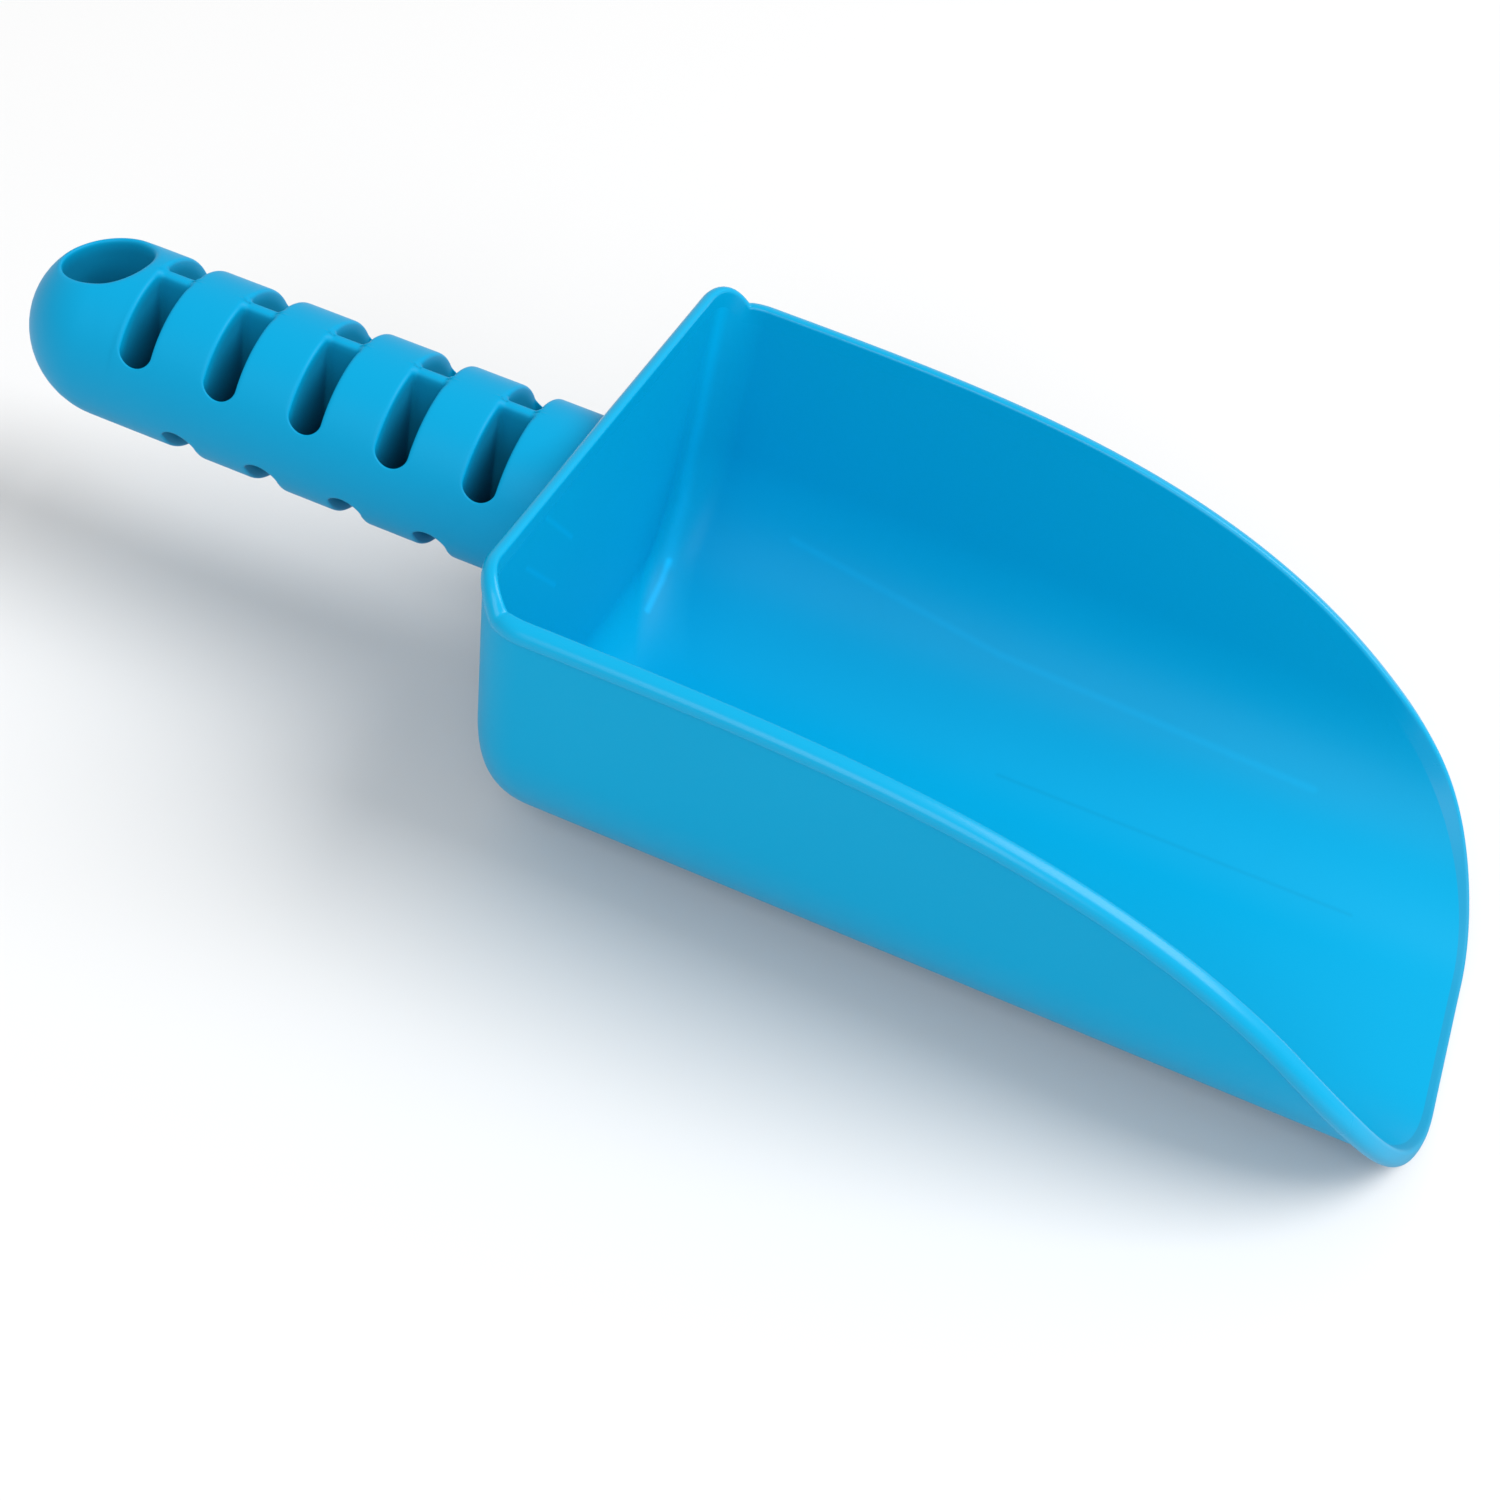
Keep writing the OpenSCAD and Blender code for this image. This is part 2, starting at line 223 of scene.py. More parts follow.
@dataclass
class Wiring:
    """Adds nodes to one shader tree and links them.

    Attributes:
        tree: the node tree.
    """

    tree: bpy.types.NodeTree

    def add(
        self, kind: str, inputs: dict[str | int, object] | None = None, **settings: object
    ) -> bpy.types.Node:
        """Adds a node.

        Args:
            kind: the node's type.
            inputs: what goes into each input: a socket is linked to it, anything else is its value.
            settings: the node's own properties.

        Returns:
            The node.
        """
        node = self.tree.nodes.new(kind)
        for name, value in settings.items():
            setattr(node, name, value)
        for name, value in (inputs or {}).items():
            if isinstance(value, bpy.types.NodeSocket):
                self.link(value, node.inputs[name])
            else:
                node.inputs[name].default_value = value
        return node

    def link(self, result: bpy.types.NodeSocket, target: bpy.types.NodeSocket) -> None:
        """Links a result to the input that takes it."""
        self.tree.links.new(result, target)

    def maths(self, operation: str, *values: object) -> bpy.types.NodeSocket:
        """Adds a Math node on sockets or numbers and returns its result."""
        return self.add("ShaderNodeMath", dict(enumerate(values)), operation=operation).outputs[0]

    def vectors(self, operation: str, *values: object) -> bpy.types.Node:
        """Adds a Vector Math node on sockets or vectors."""
        return self.add("ShaderNodeVectorMath", dict(enumerate(values)), operation=operation)

    def scale(self, vector: bpy.types.NodeSocket, factor: bpy.types.NodeSocket) -> bpy.types.NodeSocket:
        """Multiplies a vector or a colour by a number."""
        return self.add("ShaderNodeVectorMath", {0: vector, "Scale": factor}, operation="SCALE").outputs[0]

    def hold(self, value: bpy.types.NodeSocket) -> bpy.types.NodeSocket:
        """Holds a value between 0 and 1."""
        return self.add("ShaderNodeClamp", {"Value": value}).outputs[0]

    def mix(
        self, share: bpy.types.NodeSocket, first: bpy.types.NodeSocket, second: bpy.types.NodeSocket
    ) -> bpy.types.NodeSocket:
        """Mixes two colours. The Mix node takes them in its inputs 6 and 7 and has its output 2 for them."""
        node = self.add("ShaderNodeMix", {0: share, 6: first, 7: second}, data_type="RGBA")
        return node.outputs[2]

    def fade(self, value: bpy.types.NodeSocket, near: object, far: object) -> bpy.types.NodeSocket:
        """Falls in a smooth step from 1, where the value is near, to 0, where it is far."""
        span = {"Value": value, "From Min": near, "From Max": far, "To Min": 1.0, "To Max": 0.0}
        return self.add("ShaderNodeMapRange", span, interpolation_type="SMOOTHSTEP").outputs[0]

    def noise(self, place: bpy.types.NodeSocket, scale: object, detail: float) -> bpy.types.NodeSocket:
        """Adds a noise and returns its value, from 0 to 1 about a half."""
        node = self.add("ShaderNodeTexNoise", {"Vector": place, "Scale": scale, "Detail": detail})
        return node.outputs["Fac"]

    def use(
        self, group: bpy.types.NodeTree, place: bpy.types.NodeSocket, inputs: dict[str, object]
    ) -> bpy.types.NodeSocket:
        """Places a group at given coordinates, with its own inputs, and returns its result."""
        return self.add("ShaderNodeGroup", {"Place": place} | inputs, node_tree=group).outputs[0]


class Kind(Enum):
    """The kinds of socket that the effects have."""

    NUMBER = "NodeSocketFloat"
    PLACE = "NodeSocketVector"
    COLOUR = "NodeSocketColor"


class Effects:
    """The shared surface effects. Each is a shader node group that is built once."""

    def __init__(self) -> None:
        """Builds every group."""
        self.pigment_drift = self._pigment_drift()
        self.gloss_drift = self._gloss_drift()
        self.moulded_skin = self._moulded_skin()
        self.line_mark = self._line_mark()
        self.fine_scuffs = self._fine_scuffs()

    @staticmethod
    def _start(
        name: str, inputs: dict[str, Kind], output: tuple[str, Kind]
    ) -> tuple[Wiring, dict[str, bpy.types.NodeSocket], bpy.types.NodeSocket]:
        """Starts a group.

        Args:
            name: the group's name.
            inputs: its inputs' names and kinds.
            output: its output's name and kind.

        Returns:
            The group's wiring, its inputs' sockets by name, and the socket that takes its result.
        """
        tree = bpy.data.node_groups.new(name, "ShaderNodeTree")
        for label, kind in inputs.items():
            tree.interface.new_socket(name=label, in_out="INPUT", socket_type=kind.value)
        tree.interface.new_socket(name=output[0], in_out="OUTPUT", socket_type=output[1].value)
        wiring = Wiring(tree)
        entry, leave = wiring.add("NodeGroupInput"), wiring.add("NodeGroupOutput")
        return wiring, {label: entry.outputs[label] for label in inputs}, leave.inputs[output[0]]

    def _pigment_drift(self) -> bpy.types.NodeTree:
        """Colour that drifts to a second one in soft clouds: a noise stretched to 0..1, times an amount.

        The stretch is contrast times the noise, plus half of what is left of 1, so a half stays a half.

        Returns:
            The group.
        """
        detail, contrast = 3.0, 3.0
        inputs = {"Place": Kind.PLACE, "Colour": Kind.COLOUR, "Drift": Kind.COLOUR}
        inputs |= {"Scale": Kind.NUMBER, "Amount": Kind.NUMBER}
        w, given, result = self._start("pigment_drift", inputs, ("Colour", Kind.COLOUR))
        noise = w.noise(given["Place"], given["Scale"], detail)
        cloud = w.hold(w.maths("MULTIPLY_ADD", noise, contrast, (1.0 - contrast) / 2.0))
        share = w.maths("MULTIPLY", cloud, given["Amount"])
        w.link(w.mix(share, given["Colour"], given["Drift"]), result)
        return w.tree

    def _gloss_drift(self) -> bpy.types.NodeTree:
        """Roughness plus a spread times a noise that is stretched to -1..1.

        Returns:
            The group.
        """
        detail = 4.0
        inputs = {"Place": Kind.PLACE, "Roughness": Kind.NUMBER, "Spread": Kind.NUMBER}
        inputs |= {"Scale": Kind.NUMBER}
        w, given, result = self._start("gloss_drift", inputs, ("Roughness", Kind.NUMBER))
        about = w.maths("MULTIPLY_ADD", w.noise(given["Place"], given["Scale"], detail), 2.0, -1.0)
        w.link(w.maths("MULTIPLY_ADD", about, given["Spread"], given["Roughness"]), result)
        return w.tree

    def _moulded_skin(self) -> bpy.types.NodeTree:
        """Height of a moulded face: a fine grain plus the slow swell of plastic that has shrunk.

        Returns:
            The group.
        """
        grain_detail, swell_detail = 2.0, 1.0
        inputs = {"Place": Kind.PLACE, "Grain Scale": Kind.NUMBER, "Grain": Kind.NUMBER}
        inputs |= {"Swell Scale": Kind.NUMBER, "Swell": Kind.NUMBER}
        w, given, result = self._start("moulded_skin", inputs, ("Height", Kind.NUMBER))
        fine = w.noise(given["Place"], given["Grain Scale"], grain_detail)
        grain = w.maths("MULTIPLY", fine, given["Grain"])
        slow = w.noise(given["Place"], given["Swell Scale"], swell_detail)
        w.link(w.maths("MULTIPLY_ADD", slow, given["Swell"], grain), result)
        return w.tree

    def _line_mark(self) -> bpy.types.NodeTree:
        """A mark round the stretch from Start to End: 1 up to Core from it, falling smoothly to 0 at Width.

        The nearest place on the stretch is Start + h (End - Start), where h is the dot product of the way
        from Start with End - Start over its length squared, held between 0 and 1.

        Returns:
            The group.
        """
        inputs = {"Place": Kind.PLACE, "Start": Kind.PLACE, "End": Kind.PLACE}
        inputs |= {"Core": Kind.NUMBER, "Width": Kind.NUMBER}
        w, given, result = self._start("line_mark", inputs, ("Mask", Kind.NUMBER))
        span = w.vectors("SUBTRACT", given["End"], given["Start"]).outputs[0]
        way = w.vectors("SUBTRACT", given["Place"], given["Start"]).outputs[0]
        square = w.vectors("DOT_PRODUCT", span, span).outputs["Value"]
        share = w.maths("DIVIDE", w.vectors("DOT_PRODUCT", way, span).outputs["Value"], square)
        nearest = w.scale(span, w.hold(share))
        off = w.vectors("DISTANCE", way, nearest).outputs["Value"]
        w.link(w.fade(off, given["Core"], given["Width"]), result)
        return w.tree

    def _fine_scuffs(self) -> bpy.types.NodeTree:
        """Hairline scuffs: the middle level of a noise drawn out along the bowl, broken up by another.

        A line is where the first noise is within half_line of a half. The second lets it show in patches:
        its gain times the noise, less its cut, held between 0 and 1.

        Returns:
            The group.
        """
        along, half_line, detail = 0.06, 0.012, 2.0
        patch_scale, patch_detail, gain, cut = 26.0, 1.0, 5.0, 2.6
        inputs = {"Place": Kind.PLACE, "Scale": Kind.NUMBER, "Amount": Kind.NUMBER}
        w, given, result = self._start("fine_scuffs", inputs, ("Mask", Kind.NUMBER))
        drawn = w.vectors("MULTIPLY", given["Place"], (along, 1.0, 1.0)).outputs[0]
        level = w.noise(drawn, given["Scale"], detail)
        line = w.fade(w.maths("ABSOLUTE", w.maths("SUBTRACT", level, 0.5)), 0.0, half_line)
        cloud = w.noise(given["Place"], patch_scale, patch_detail)
        patch = w.hold(w.maths("MULTIPLY_ADD", cloud, gain, -cut))
        w.link(w.maths("MULTIPLY", w.maths("MULTIPLY", line, patch), given["Amount"]), result)
        return w.tree


@dataclass(frozen=True)
class Mark:
    """A line in the plastic, or painted shade or a painted highlight along or round a line, in millimetres
    in the maker's frame.

    Attributes:
        points: the line's corners and ends.
        width: how far from the line it reaches.
        both_sides: whether the other side of the part has it too.
        tone: what it multiplies the colour by, less one.
        rise: how far it stands out of the face.
        core: how far from the line it is at its full strength.
        dull: what it adds to the roughness.
    """

    points: tuple[tuple[float, float, float], ...]
    width: float
    both_sides: bool = False
    tone: float = 0.0
    rise: float = 0.0
    core: float = 0.0
    dull: float = 0.0

    def mask(
        self,
        w: Wiring,
        effects: Effects,
        place: bpy.types.NodeSocket,
        origin: tuple[float, float, float],
    ) -> bpy.types.NodeSocket:
        """Builds its mask: the greatest of its stretches' masks.

        Args:
            w: the material's wiring.
            effects: the shared node groups.
            place: the coordinates that it is drawn in.
            origin: the part's origin in the maker's frame.

        Returns:
            The mask, 1 on the line and 0 away from it.
        """
        reach = {"Core": self.core * METRES, "Width": self.width * METRES}
        ends = [tuple((v - o) * METRES for v, o in zip(point, origin)) for point in self.points]
        stretches = [{"Start": start, "End": end} | reach for start, end in zip(ends, ends[1:])]
        masks = [w.use(effects.line_mark, place, stretch) for stretch in stretches]
        return reduce(lambda one, other: w.maths("MAXIMUM", one, other), masks)


@dataclass(frozen=True)
class Finish:
    """A moulded plastic finish.

    Attributes:
        name: the material's name.
        roughness: the roughness of a clean face.
        specular: the shader's specular level.
        swell: depth of the slow swell, in millimetres.
        grain: depth of the fine grain, in millimetres.
        gloss_spread: how much the roughness varies.
        scuffs: how much the scuffs add to the roughness.
        colour: its colour, linear.
        drift: a slightly different colour that the pigment drifts towards.
        drift_amount: how far it drifts.
        marks: lines in the plastic, painted highlights and painted shade.
        pigment_scale: scale of the pigment's clouds, in repeats a metre, as are the next four.
        gloss_scale: scale of the roughness's patches.
        scuff_scale: scale of the scuffs.
        grain_scale: scale of the grain.
        swell_scale: scale of the swell.
    """

    name: str
    roughness: float
    specular: float
    swell: float
    grain: float = 0.0008
    gloss_spread: float = 0.03
    scuffs: float = 0.03
    # The bowl's blue is a little lighter than the grip's: partly the grip's own deeper tone, partly painted
    # light that stands in for light the bowl's floor lacks.
    colour: tuple[float, float, float] = (0.0, 0.322, 0.57)
    drift: tuple[float, float, float] = (0.0, 0.302, 0.54)
    drift_amount: float = 0.5
    marks: tuple[Mark, ...] = ()
    pigment_scale: float = 14.0
    gloss_scale: float = 45.0
    scuff_scale: float = 420.0
    grain_scale: float = 900.0
    swell_scale: float = 30.0

    def make(self, effects: Effects, origin: tuple[float, float, float]) -> bpy.types.Material:
        """Builds the material.

        Args:
            effects: the shared node groups.
            origin: the part's origin in the maker's frame, which the marks are placed from.

        Returns:
            The material.
        """
        material = bpy.data.materials.new(self.name)
        material.use_nodes = True
        w = Wiring(material.node_tree)
        place = w.add("ShaderNodeTexCoord").outputs["Object"]
        pigment = {"Colour": (*self.colour, 1.0), "Drift": (*self.drift, 1.0)}
        pigment |= {"Scale": self.pigment_scale, "Amount": self.drift_amount}
        gloss = {"Roughness": self.roughness, "Spread": self.gloss_spread, "Scale": self.gloss_scale}
        skin = {"Grain Scale": self.grain_scale, "Grain": self.grain * METRES}
        skin |= {"Swell Scale": self.swell_scale, "Swell": self.swell * METRES}
        colour = w.use(effects.pigment_drift, place, pigment)
        rough = w.use(effects.gloss_drift, place, gloss)
        scuff = w.use(effects.fine_scuffs, place, {"Scale": self.scuff_scale, "Amount": self.scuffs})
        height = w.use(effects.moulded_skin, place, skin)

        parts = w.add("ShaderNodeSeparateXYZ", {0: place}).outputs
        across = w.maths("ABSOLUTE", parts[1])
        mirrored = w.add("ShaderNodeCombineXYZ", {0: parts[0], 1: across, 2: parts[2]}).outputs[0]
        for mark in self.marks:
            mask = mark.mask(w, effects, mirrored if mark.both_sides else place, origin)
            if mark.rise:
                height = w.maths("MULTIPLY_ADD", mask, mark.rise * METRES, height)
            if mark.dull:
                rough = w.maths("MULTIPLY_ADD", mask, mark.dull, rough)
            # A mark's tone scales the colour under it: for most marks this is a painted highlight or painted
            # shade.
            colour = w.scale(colour, w.maths("MULTIPLY_ADD", mask, mark.tone, 1.0))
        bump = w.add("ShaderNodeBump", {"Height": height, "Distance": 1.0, "Strength": 1.0})
        shader = material.node_tree.nodes["Principled BSDF"]
        w.link(colour, shader.inputs["Base Color"])
        w.link(w.maths("ADD", rough, scuff), shader.inputs["Roughness"])
        w.link(bump.outputs[0], shader.inputs["Normal"])
        shader.inputs["Specular IOR Level"].default_value = self.specular
        return material


@dataclass(frozen=True)
class Dressing:
    """What a piece wears.

    Attributes:
        finish: its finish.
        solids: the names of the solids that it stands for.
    """

    finish: Finish
    solids: tuple[str, ...]


class SubAssembly(ABC):
    """A stretch of the moulding, which builds its own pieces and dresses them.

    Attributes:
        origin: the part's origin in the maker's frame, in millimetres.
    """

    origin: tuple[float, float, float]

    @abstractmethod
    def build(self) -> dict[str, bpy.types.Object]:
        """Makes the pieces, by name."""

    @abstractmethod
    def dressings(self) -> dict[str, Dressing]:
        """What each piece wears, by the piece's name."""

    def dress(self, effects: Effects) -> None:
        """Builds the pieces, and gives each its finish, its solids and its body.

        Args:
            effects: the shared node groups.
        """
        dressings = self.dressings()
        for name, piece in self.build().items():
            worn = dressings[name]
            piece.data.materials.append(worn.finish.make(effects, self.origin))
            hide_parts(*worn.solids)
            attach(piece, BODY)
            LOG.info("%s stands for %s", name, ", ".join(worn.solids))


@dataclass(frozen=True)
class BowlSizes:
    """Sizes of the bowl, as the solids have them.

    The overhang and the rise are a hair less than theirs, so that the finer bead stays inside their box.

    Attributes:
        length: back wall's outer face to the tip of the lip.
        width: between the side walls' outer faces, where they would meet the ground.
        rim_height: height of the rim along the sides, at the back.
        lean: outward lean of the side walls, in radians.
        wall: thickness of walls and floor.
        side_radius: outer radius of the curve from floor to side wall.
        back_radius: outer radius of the curve from floor to back wall.
        corner_radius: outer radius of the upright corners.
        bead: height of the rolled bead.
        overhang: how far the bead stands out past the wall.
        back_overhang: the same along the back wall.
        inner_round: radius of the bead's inner top edge.
        crown_share: share of the bead's height that its outer rounding takes.
        lip: height of the bead where it runs out into the lip.
        rise: how much higher the rim is across the back wall.
        rise_from: share of the corner's radius where the rim starts to come down from there.
        rise_to: share of it where it is down.
        thin_below: height below which the bead thins.
        overhang_share: share of that height below which the overhang runs out.
        hold: power that keeps the falling rim high at the back.
        nose: power that rounds it in front.
        square: share of the height that squares the lip's corners.
        square_power: power of that share.
    """

    length: float = 183.9
    width: float = 96.1
    rim_height: float = 66.5
    lean: float = math.radians(7.8)
    wall: float = 2.4
    side_radius: float = 39.5
    back_radius: float = 14.8
    corner_radius: float = 11.3
    bead: float = 3.8
    overhang: float = 1.27
    back_overhang: float = 0.3
    inner_round: float = 0.9
    crown_share: float = 0.62
    lip: float = 2.0
    rise: float = 4.49
    rise_from: float = 0.03
    rise_to: float = 0.56
    thin_below: float = 24.0
    overhang_share: float = 0.18
    hold: float = 3.54
    nose: float = 0.893
    square: float = 0.03
    square_power: float = 0.35

    @property
    def edge_height(self) -> float:
        """Height of the walls' free edge, under the bead."""
        return self.rim_height - self.bead

    @property
    def edge_length(self) -> float:
        """Distance from the back wall's outer face to the floor's free edge."""
        return self.length - self.lip

    @property
    def side_y(self) -> float:
        """Half width of the flat floor, where the side curve starts."""
        r, a = self.side_radius, self.lean
        return self.width / 2 - r * math.cos(a) + r * (1 - math.sin(a)) * math.tan(a)

    @property
    def back_x(self) -> float:
        """Where the rounded back gives way to the straight trough."""
        return self.back_radius + self.corner_radius

    def wall_y(self, z: np.ndarray, inset: float) -> np.ndarray:
        """Half width at height z of the face that lies inset within the wall.

        The face is an arc about the curve's centre line up to where the lean starts, then a straight line.

        Args:
            z: heights above the ground.
            inset: how far within the outer face the wanted face lies.

        Returns:
            Half widths, one for each height.
        """
        r = self.side_radius - inset
        drop = self.side_radius - z
        curve = self.side_y + np.sqrt(np.clip(r * r - drop * drop, 0.0, None))
        leaning = self.width / 2 + z * math.tan(self.lean) - inset / math.cos(self.lean)
        return np.where(z < self.side_radius - r * math.sin(self.lean), curve, leaning)

    def wall_x(self, z: np.ndarray, inset: float) -> np.ndarray:
        """Place along the bowl of a face of the back wall at height z: an arc, then upright.

        Args:
            z: heights above the ground.
            inset: how far within the outer face the wanted face lies.

        Returns:
            Places along the bowl, one for each height.
        """
        r = self.back_radius - inset
        drop = self.back_radius - z
        curve = self.back_radius - np.sqrt(np.clip(r * r - drop * drop, 0.0, None))
        return np.where(z < self.back_radius, curve, inset)

    def edge_fall(self, measure: np.ndarray) -> np.ndarray:
        """Height of the free edge from the curve's own measure, 1 at the back and 0 at the lip."""
        # Mostly a power that gives the long fall, and a little of a lower one that squares the lip's corner.
        main, corner = measure**self.nose, measure**self.square_power
        return self.edge_height * ((1 - self.square) * main + self.square * corner)

    def edge_z(self, x: np.ndarray) -> np.ndarray:
        """Height of the free edge at x: a power curve that falls to the lip, plus the rise at the back.

        Args:
            x: places along the bowl.

        Returns:
            Heights above the ground, one for each place.
        """
        fall = self.edge_fall(1 - (x / self.edge_length) ** self.hold)
        past = (x / self.corner_radius - self.rise_from) / (self.rise_to - self.rise_from)
        return fall + self.rise * (1 - smooth(past))

    def bead_size(self, z: np.ndarray) -> np.ndarray:
        """Height of the bead where the free edge is at height z."""
        return self.lip + (self.bead - self.lip) * smooth(z / self.thin_below)

    def bead_reach(self, x: np.ndarray, z: np.ndarray) -> np.ndarray:
        """Overhang of the bead where the free edge is at x and z: less at the back, none at the lip."""
        full = self.back_overhang + (self.overhang - self.back_overhang) * smooth(x / self.corner_radius)
        return full * smooth(z / (self.thin_below * self.overhang_share))


@dataclass
class Bowl(SubAssembly):
    """The bowl and its rolled rim, as one surface cut into two pieces.

    The surface is a grid. Its first axis is stations round the free edge, starting at the middle of the lip
    and running by the left wall, the back and the right wall to the lip again. Its second axis is rows
    from the middle of the floor up the inside, over the bead and down the outside to the middle again.

    Attributes:
        sizes: the bowl's sizes.
        origin: the part's origin in the maker's frame.
        lip_steps: stations on half of the lip.
        side_steps: stations on a side wall in front of the rounded back.
        turn_steps: stations on a side wall beside the rounded back.
        corner_steps: stations on an upright corner.
        back_steps: stations on half of the back wall.
        rows: rows from the middle of the floor to the free edge.
        samples: points along a column of the back before it is divided into even steps.
        core: half width of the patch at the middle of the floor.
        nose_room: distance from that patch's front end to the lip.
        flank_rows: rows on the bead's inner flank.
        crown_rows: rows over its rounded top.
        cove_rows: rows down its outer side to the wall.
        crown_power: power of the superellipse that rounds the top.
        ease: stations either side over which the bead's direction is evened out.
    """

    sizes: BowlSizes
    origin: tuple[float, float, float]
    lip_steps: int = 20
    side_steps: int = 150
    turn_steps: int = 9
    corner_steps: int = 20
    back_steps: int = 20
    rows: int = 60
    samples: int = 400
    core: float = 5.0
    nose_room: float = 26.0
    flank_rows: int = 3
    crown_rows: int = 18
    cove_rows: int = 9
    crown_power: float = 2.2
    ease: int = 3

    def _side_face(self, inset: float) -> np.ndarray:
        """Left side of the trough in front of the rounded back, from the lip backwards.

        A trough can be unrolled: a point is its place along the bowl and its distance across the outer
        face from the middle of the floor. Each row runs straight across the unrolled sheet.

        Args:
            inset: 0 for the outer face, the wall's thickness for the inner one.

        Returns:
            Points, stations by rows.
        """
        s = self.sizes
        start = math.asin((s.back_x / s.edge_length) ** (s.hold / 2))
        sweep = np.linspace(math.pi / 2, start, self.side_steps + 1)
        edge_x = s.edge_length * np.sin(sweep) ** (2 / s.hold)
        edge_z = s.edge_fall(np.clip(np.cos(sweep), 0.0, None) ** 2)
        top = math.pi / 2 - s.lean
        curve_top = s.side_radius * (1 - math.sin(s.lean))
        angle = np.arccos(np.clip(1 - edge_z / s.side_radius, -1, 1))
        across = s.side_y + np.where(
            edge_z < curve_top,
            s.side_radius * angle,
            s.side_radius * top + (edge_z - curve_top) / math.cos(s.lean),
        )
        front = s.edge_length - self.nose_room
        core_x = s.back_x + (edge_x - s.back_x) * (front - s.back_x) / (s.edge_length - s.back_x)
        share = np.linspace(0.0, 1.0, self.rows + 1)
        x = core_x[:, None] + (edge_x - core_x)[:, None] * share
        distance = self.core + (across - self.core)[:, None] * share
        turned = np.clip((distance - s.side_y) / s.side_radius, 0.0, top)
        beyond = np.clip(distance - s.side_y - s.side_radius * top, 0.0, None)
        r = s.side_radius - inset
        y = np.minimum(distance, s.side_y) + r * np.sin(turned) + beyond * math.sin(s.lean)
        z = s.side_radius - r * np.cos(turned) + beyond * math.cos(s.lean)
        return np.stack([x, y, z], axis=-1)

    def _back_face(self, inset: float) -> np.ndarray:
        """Left half of the rounded back, from the trough to the middle of the back wall.

        A station is a column up the wall. At each height the wall's outline, seen from above, is a straight
        side, a quarter circle and a straight back. The column starts at the matching place on the floor.

        Args:
            inset: 0 for the outer face, the wall's thickness for the inner one.

        Returns:
            Points, stations by rows, without the first station, which the trough already has.
        """
        s = self.sizes
        beside = np.linspace(0.0, 1.0, self.turn_steps + 1)[1:]
        bend = np.linspace(0.0, math.pi / 2, self.corner_steps + 1)[1:]
        behind = np.linspace(1.0, 0.0, self.back_steps + 1)[1:]
        turned, level = np.zeros_like(beside), np.ones_like(behind)
        past = np.concatenate([beside, np.ones_like(bend), level])[:, None]
        angle = np.concatenate([turned, bend, level * math.pi / 2])[:, None]
        share = np.concatenate([turned + 1.0, np.ones_like(bend), behind])[:, None]
        corner = s.corner_radius - inset
        even = np.linspace(0.0, 1.0, self.samples)
        edge = s.edge_z(s.back_x * (1 - past) + s.corner_radius * past * (1 - np.sin(angle)))
        leaning = s.wall * math.sin(s.lean) if inset > 0.0 else 0.0
        edge = edge + leaning * np.cos(angle)
        lower = s.back_radius - (s.back_radius - inset) * np.cos(even * math.pi / 2)
        upper = s.back_radius + (edge - s.back_radius) * even[1:]
        z = np.concatenate([np.broadcast_to(lower, (len(past), len(lower))), upper], axis=1)
        x = s.back_x * (1 - past) + (s.wall_x(z, inset) + corner) * past - corner * np.sin(angle) * past
        y = (s.wall_y(z, inset) - corner * (1 - np.cos(angle))) * share
        wall = np.stack([x, y, z], axis=-1)
        turn = math.pi / 2 + math.pi / 2 * np.arange(1, len(past) + 1) / len(past)
        core_x, core_y = s.back_x + self.core * np.cos(turn), self.core * np.sin(turn)
        core = np.stack([core_x, core_y, np.full_like(turn, inset)], axis=-1)[:, None]
        path = np.concatenate([core + (wall[:, :1] - core) * even[:-1, None], wall], axis=1)
        rows = np.linspace(0.0, 1.0, self.rows + 1)
        at = np.stack([by_arc_length(line, rows) for line in path]) * (path.shape[1] - 1)
        low = np.minimum(at.astype(int), path.shape[1] - 2)
        near, far = (np.take_along_axis(path, index[..., None], axis=1) for index in (low, low + 1))
        return near + (far - near) * (at - low)[..., None]

    def _lip_face(self, inset: float) -> np.ndarray:
        """Left half of the floor's fan to the lip, from its middle outwards, without the last station.

        Args:
            inset: 0 for the underside, the wall's thickness for the top.

        Returns:
            Points, stations by rows.
        """
        s = self.sizes
        share = np.linspace(0.0, 1.0, self.lip_steps + 1)[:-1]
        front = s.edge_length - self.nose_room
        turn = share * math.pi / 2
        core = np.stack([front + self.core * np.cos(turn), self.core * np.sin(turn)], axis=-1)
        edge = np.stack([np.full_like(share, s.edge_length), share * s.side_y], axis=-1)
        out = np.linspace(0.0, 1.0, self.rows + 1)[None, :, None]
        flat = core[:, None] + (edge - core)[:, None] * out
        return np.concatenate([flat, np.full(flat.shape[:-1] + (1,), inset)], axis=-1)

    def _face(self, inset: float) -> np.ndarray:
        """One whole face of the wall, inner or outer, stations by rows, all the way round.

        Args:
            inset: 0 for the outer face, the wall's thickness for the inner one.

        Returns:
            Points; the right half is the left half mirrored.
        """
        half = np.concatenate([self._lip_face(inset), self._side_face(inset), self._back_face(inset)])
        other = half[1:-1][::-1] * np.array([1.0, -1.0, 1.0])
        return np.concatenate([half, other])

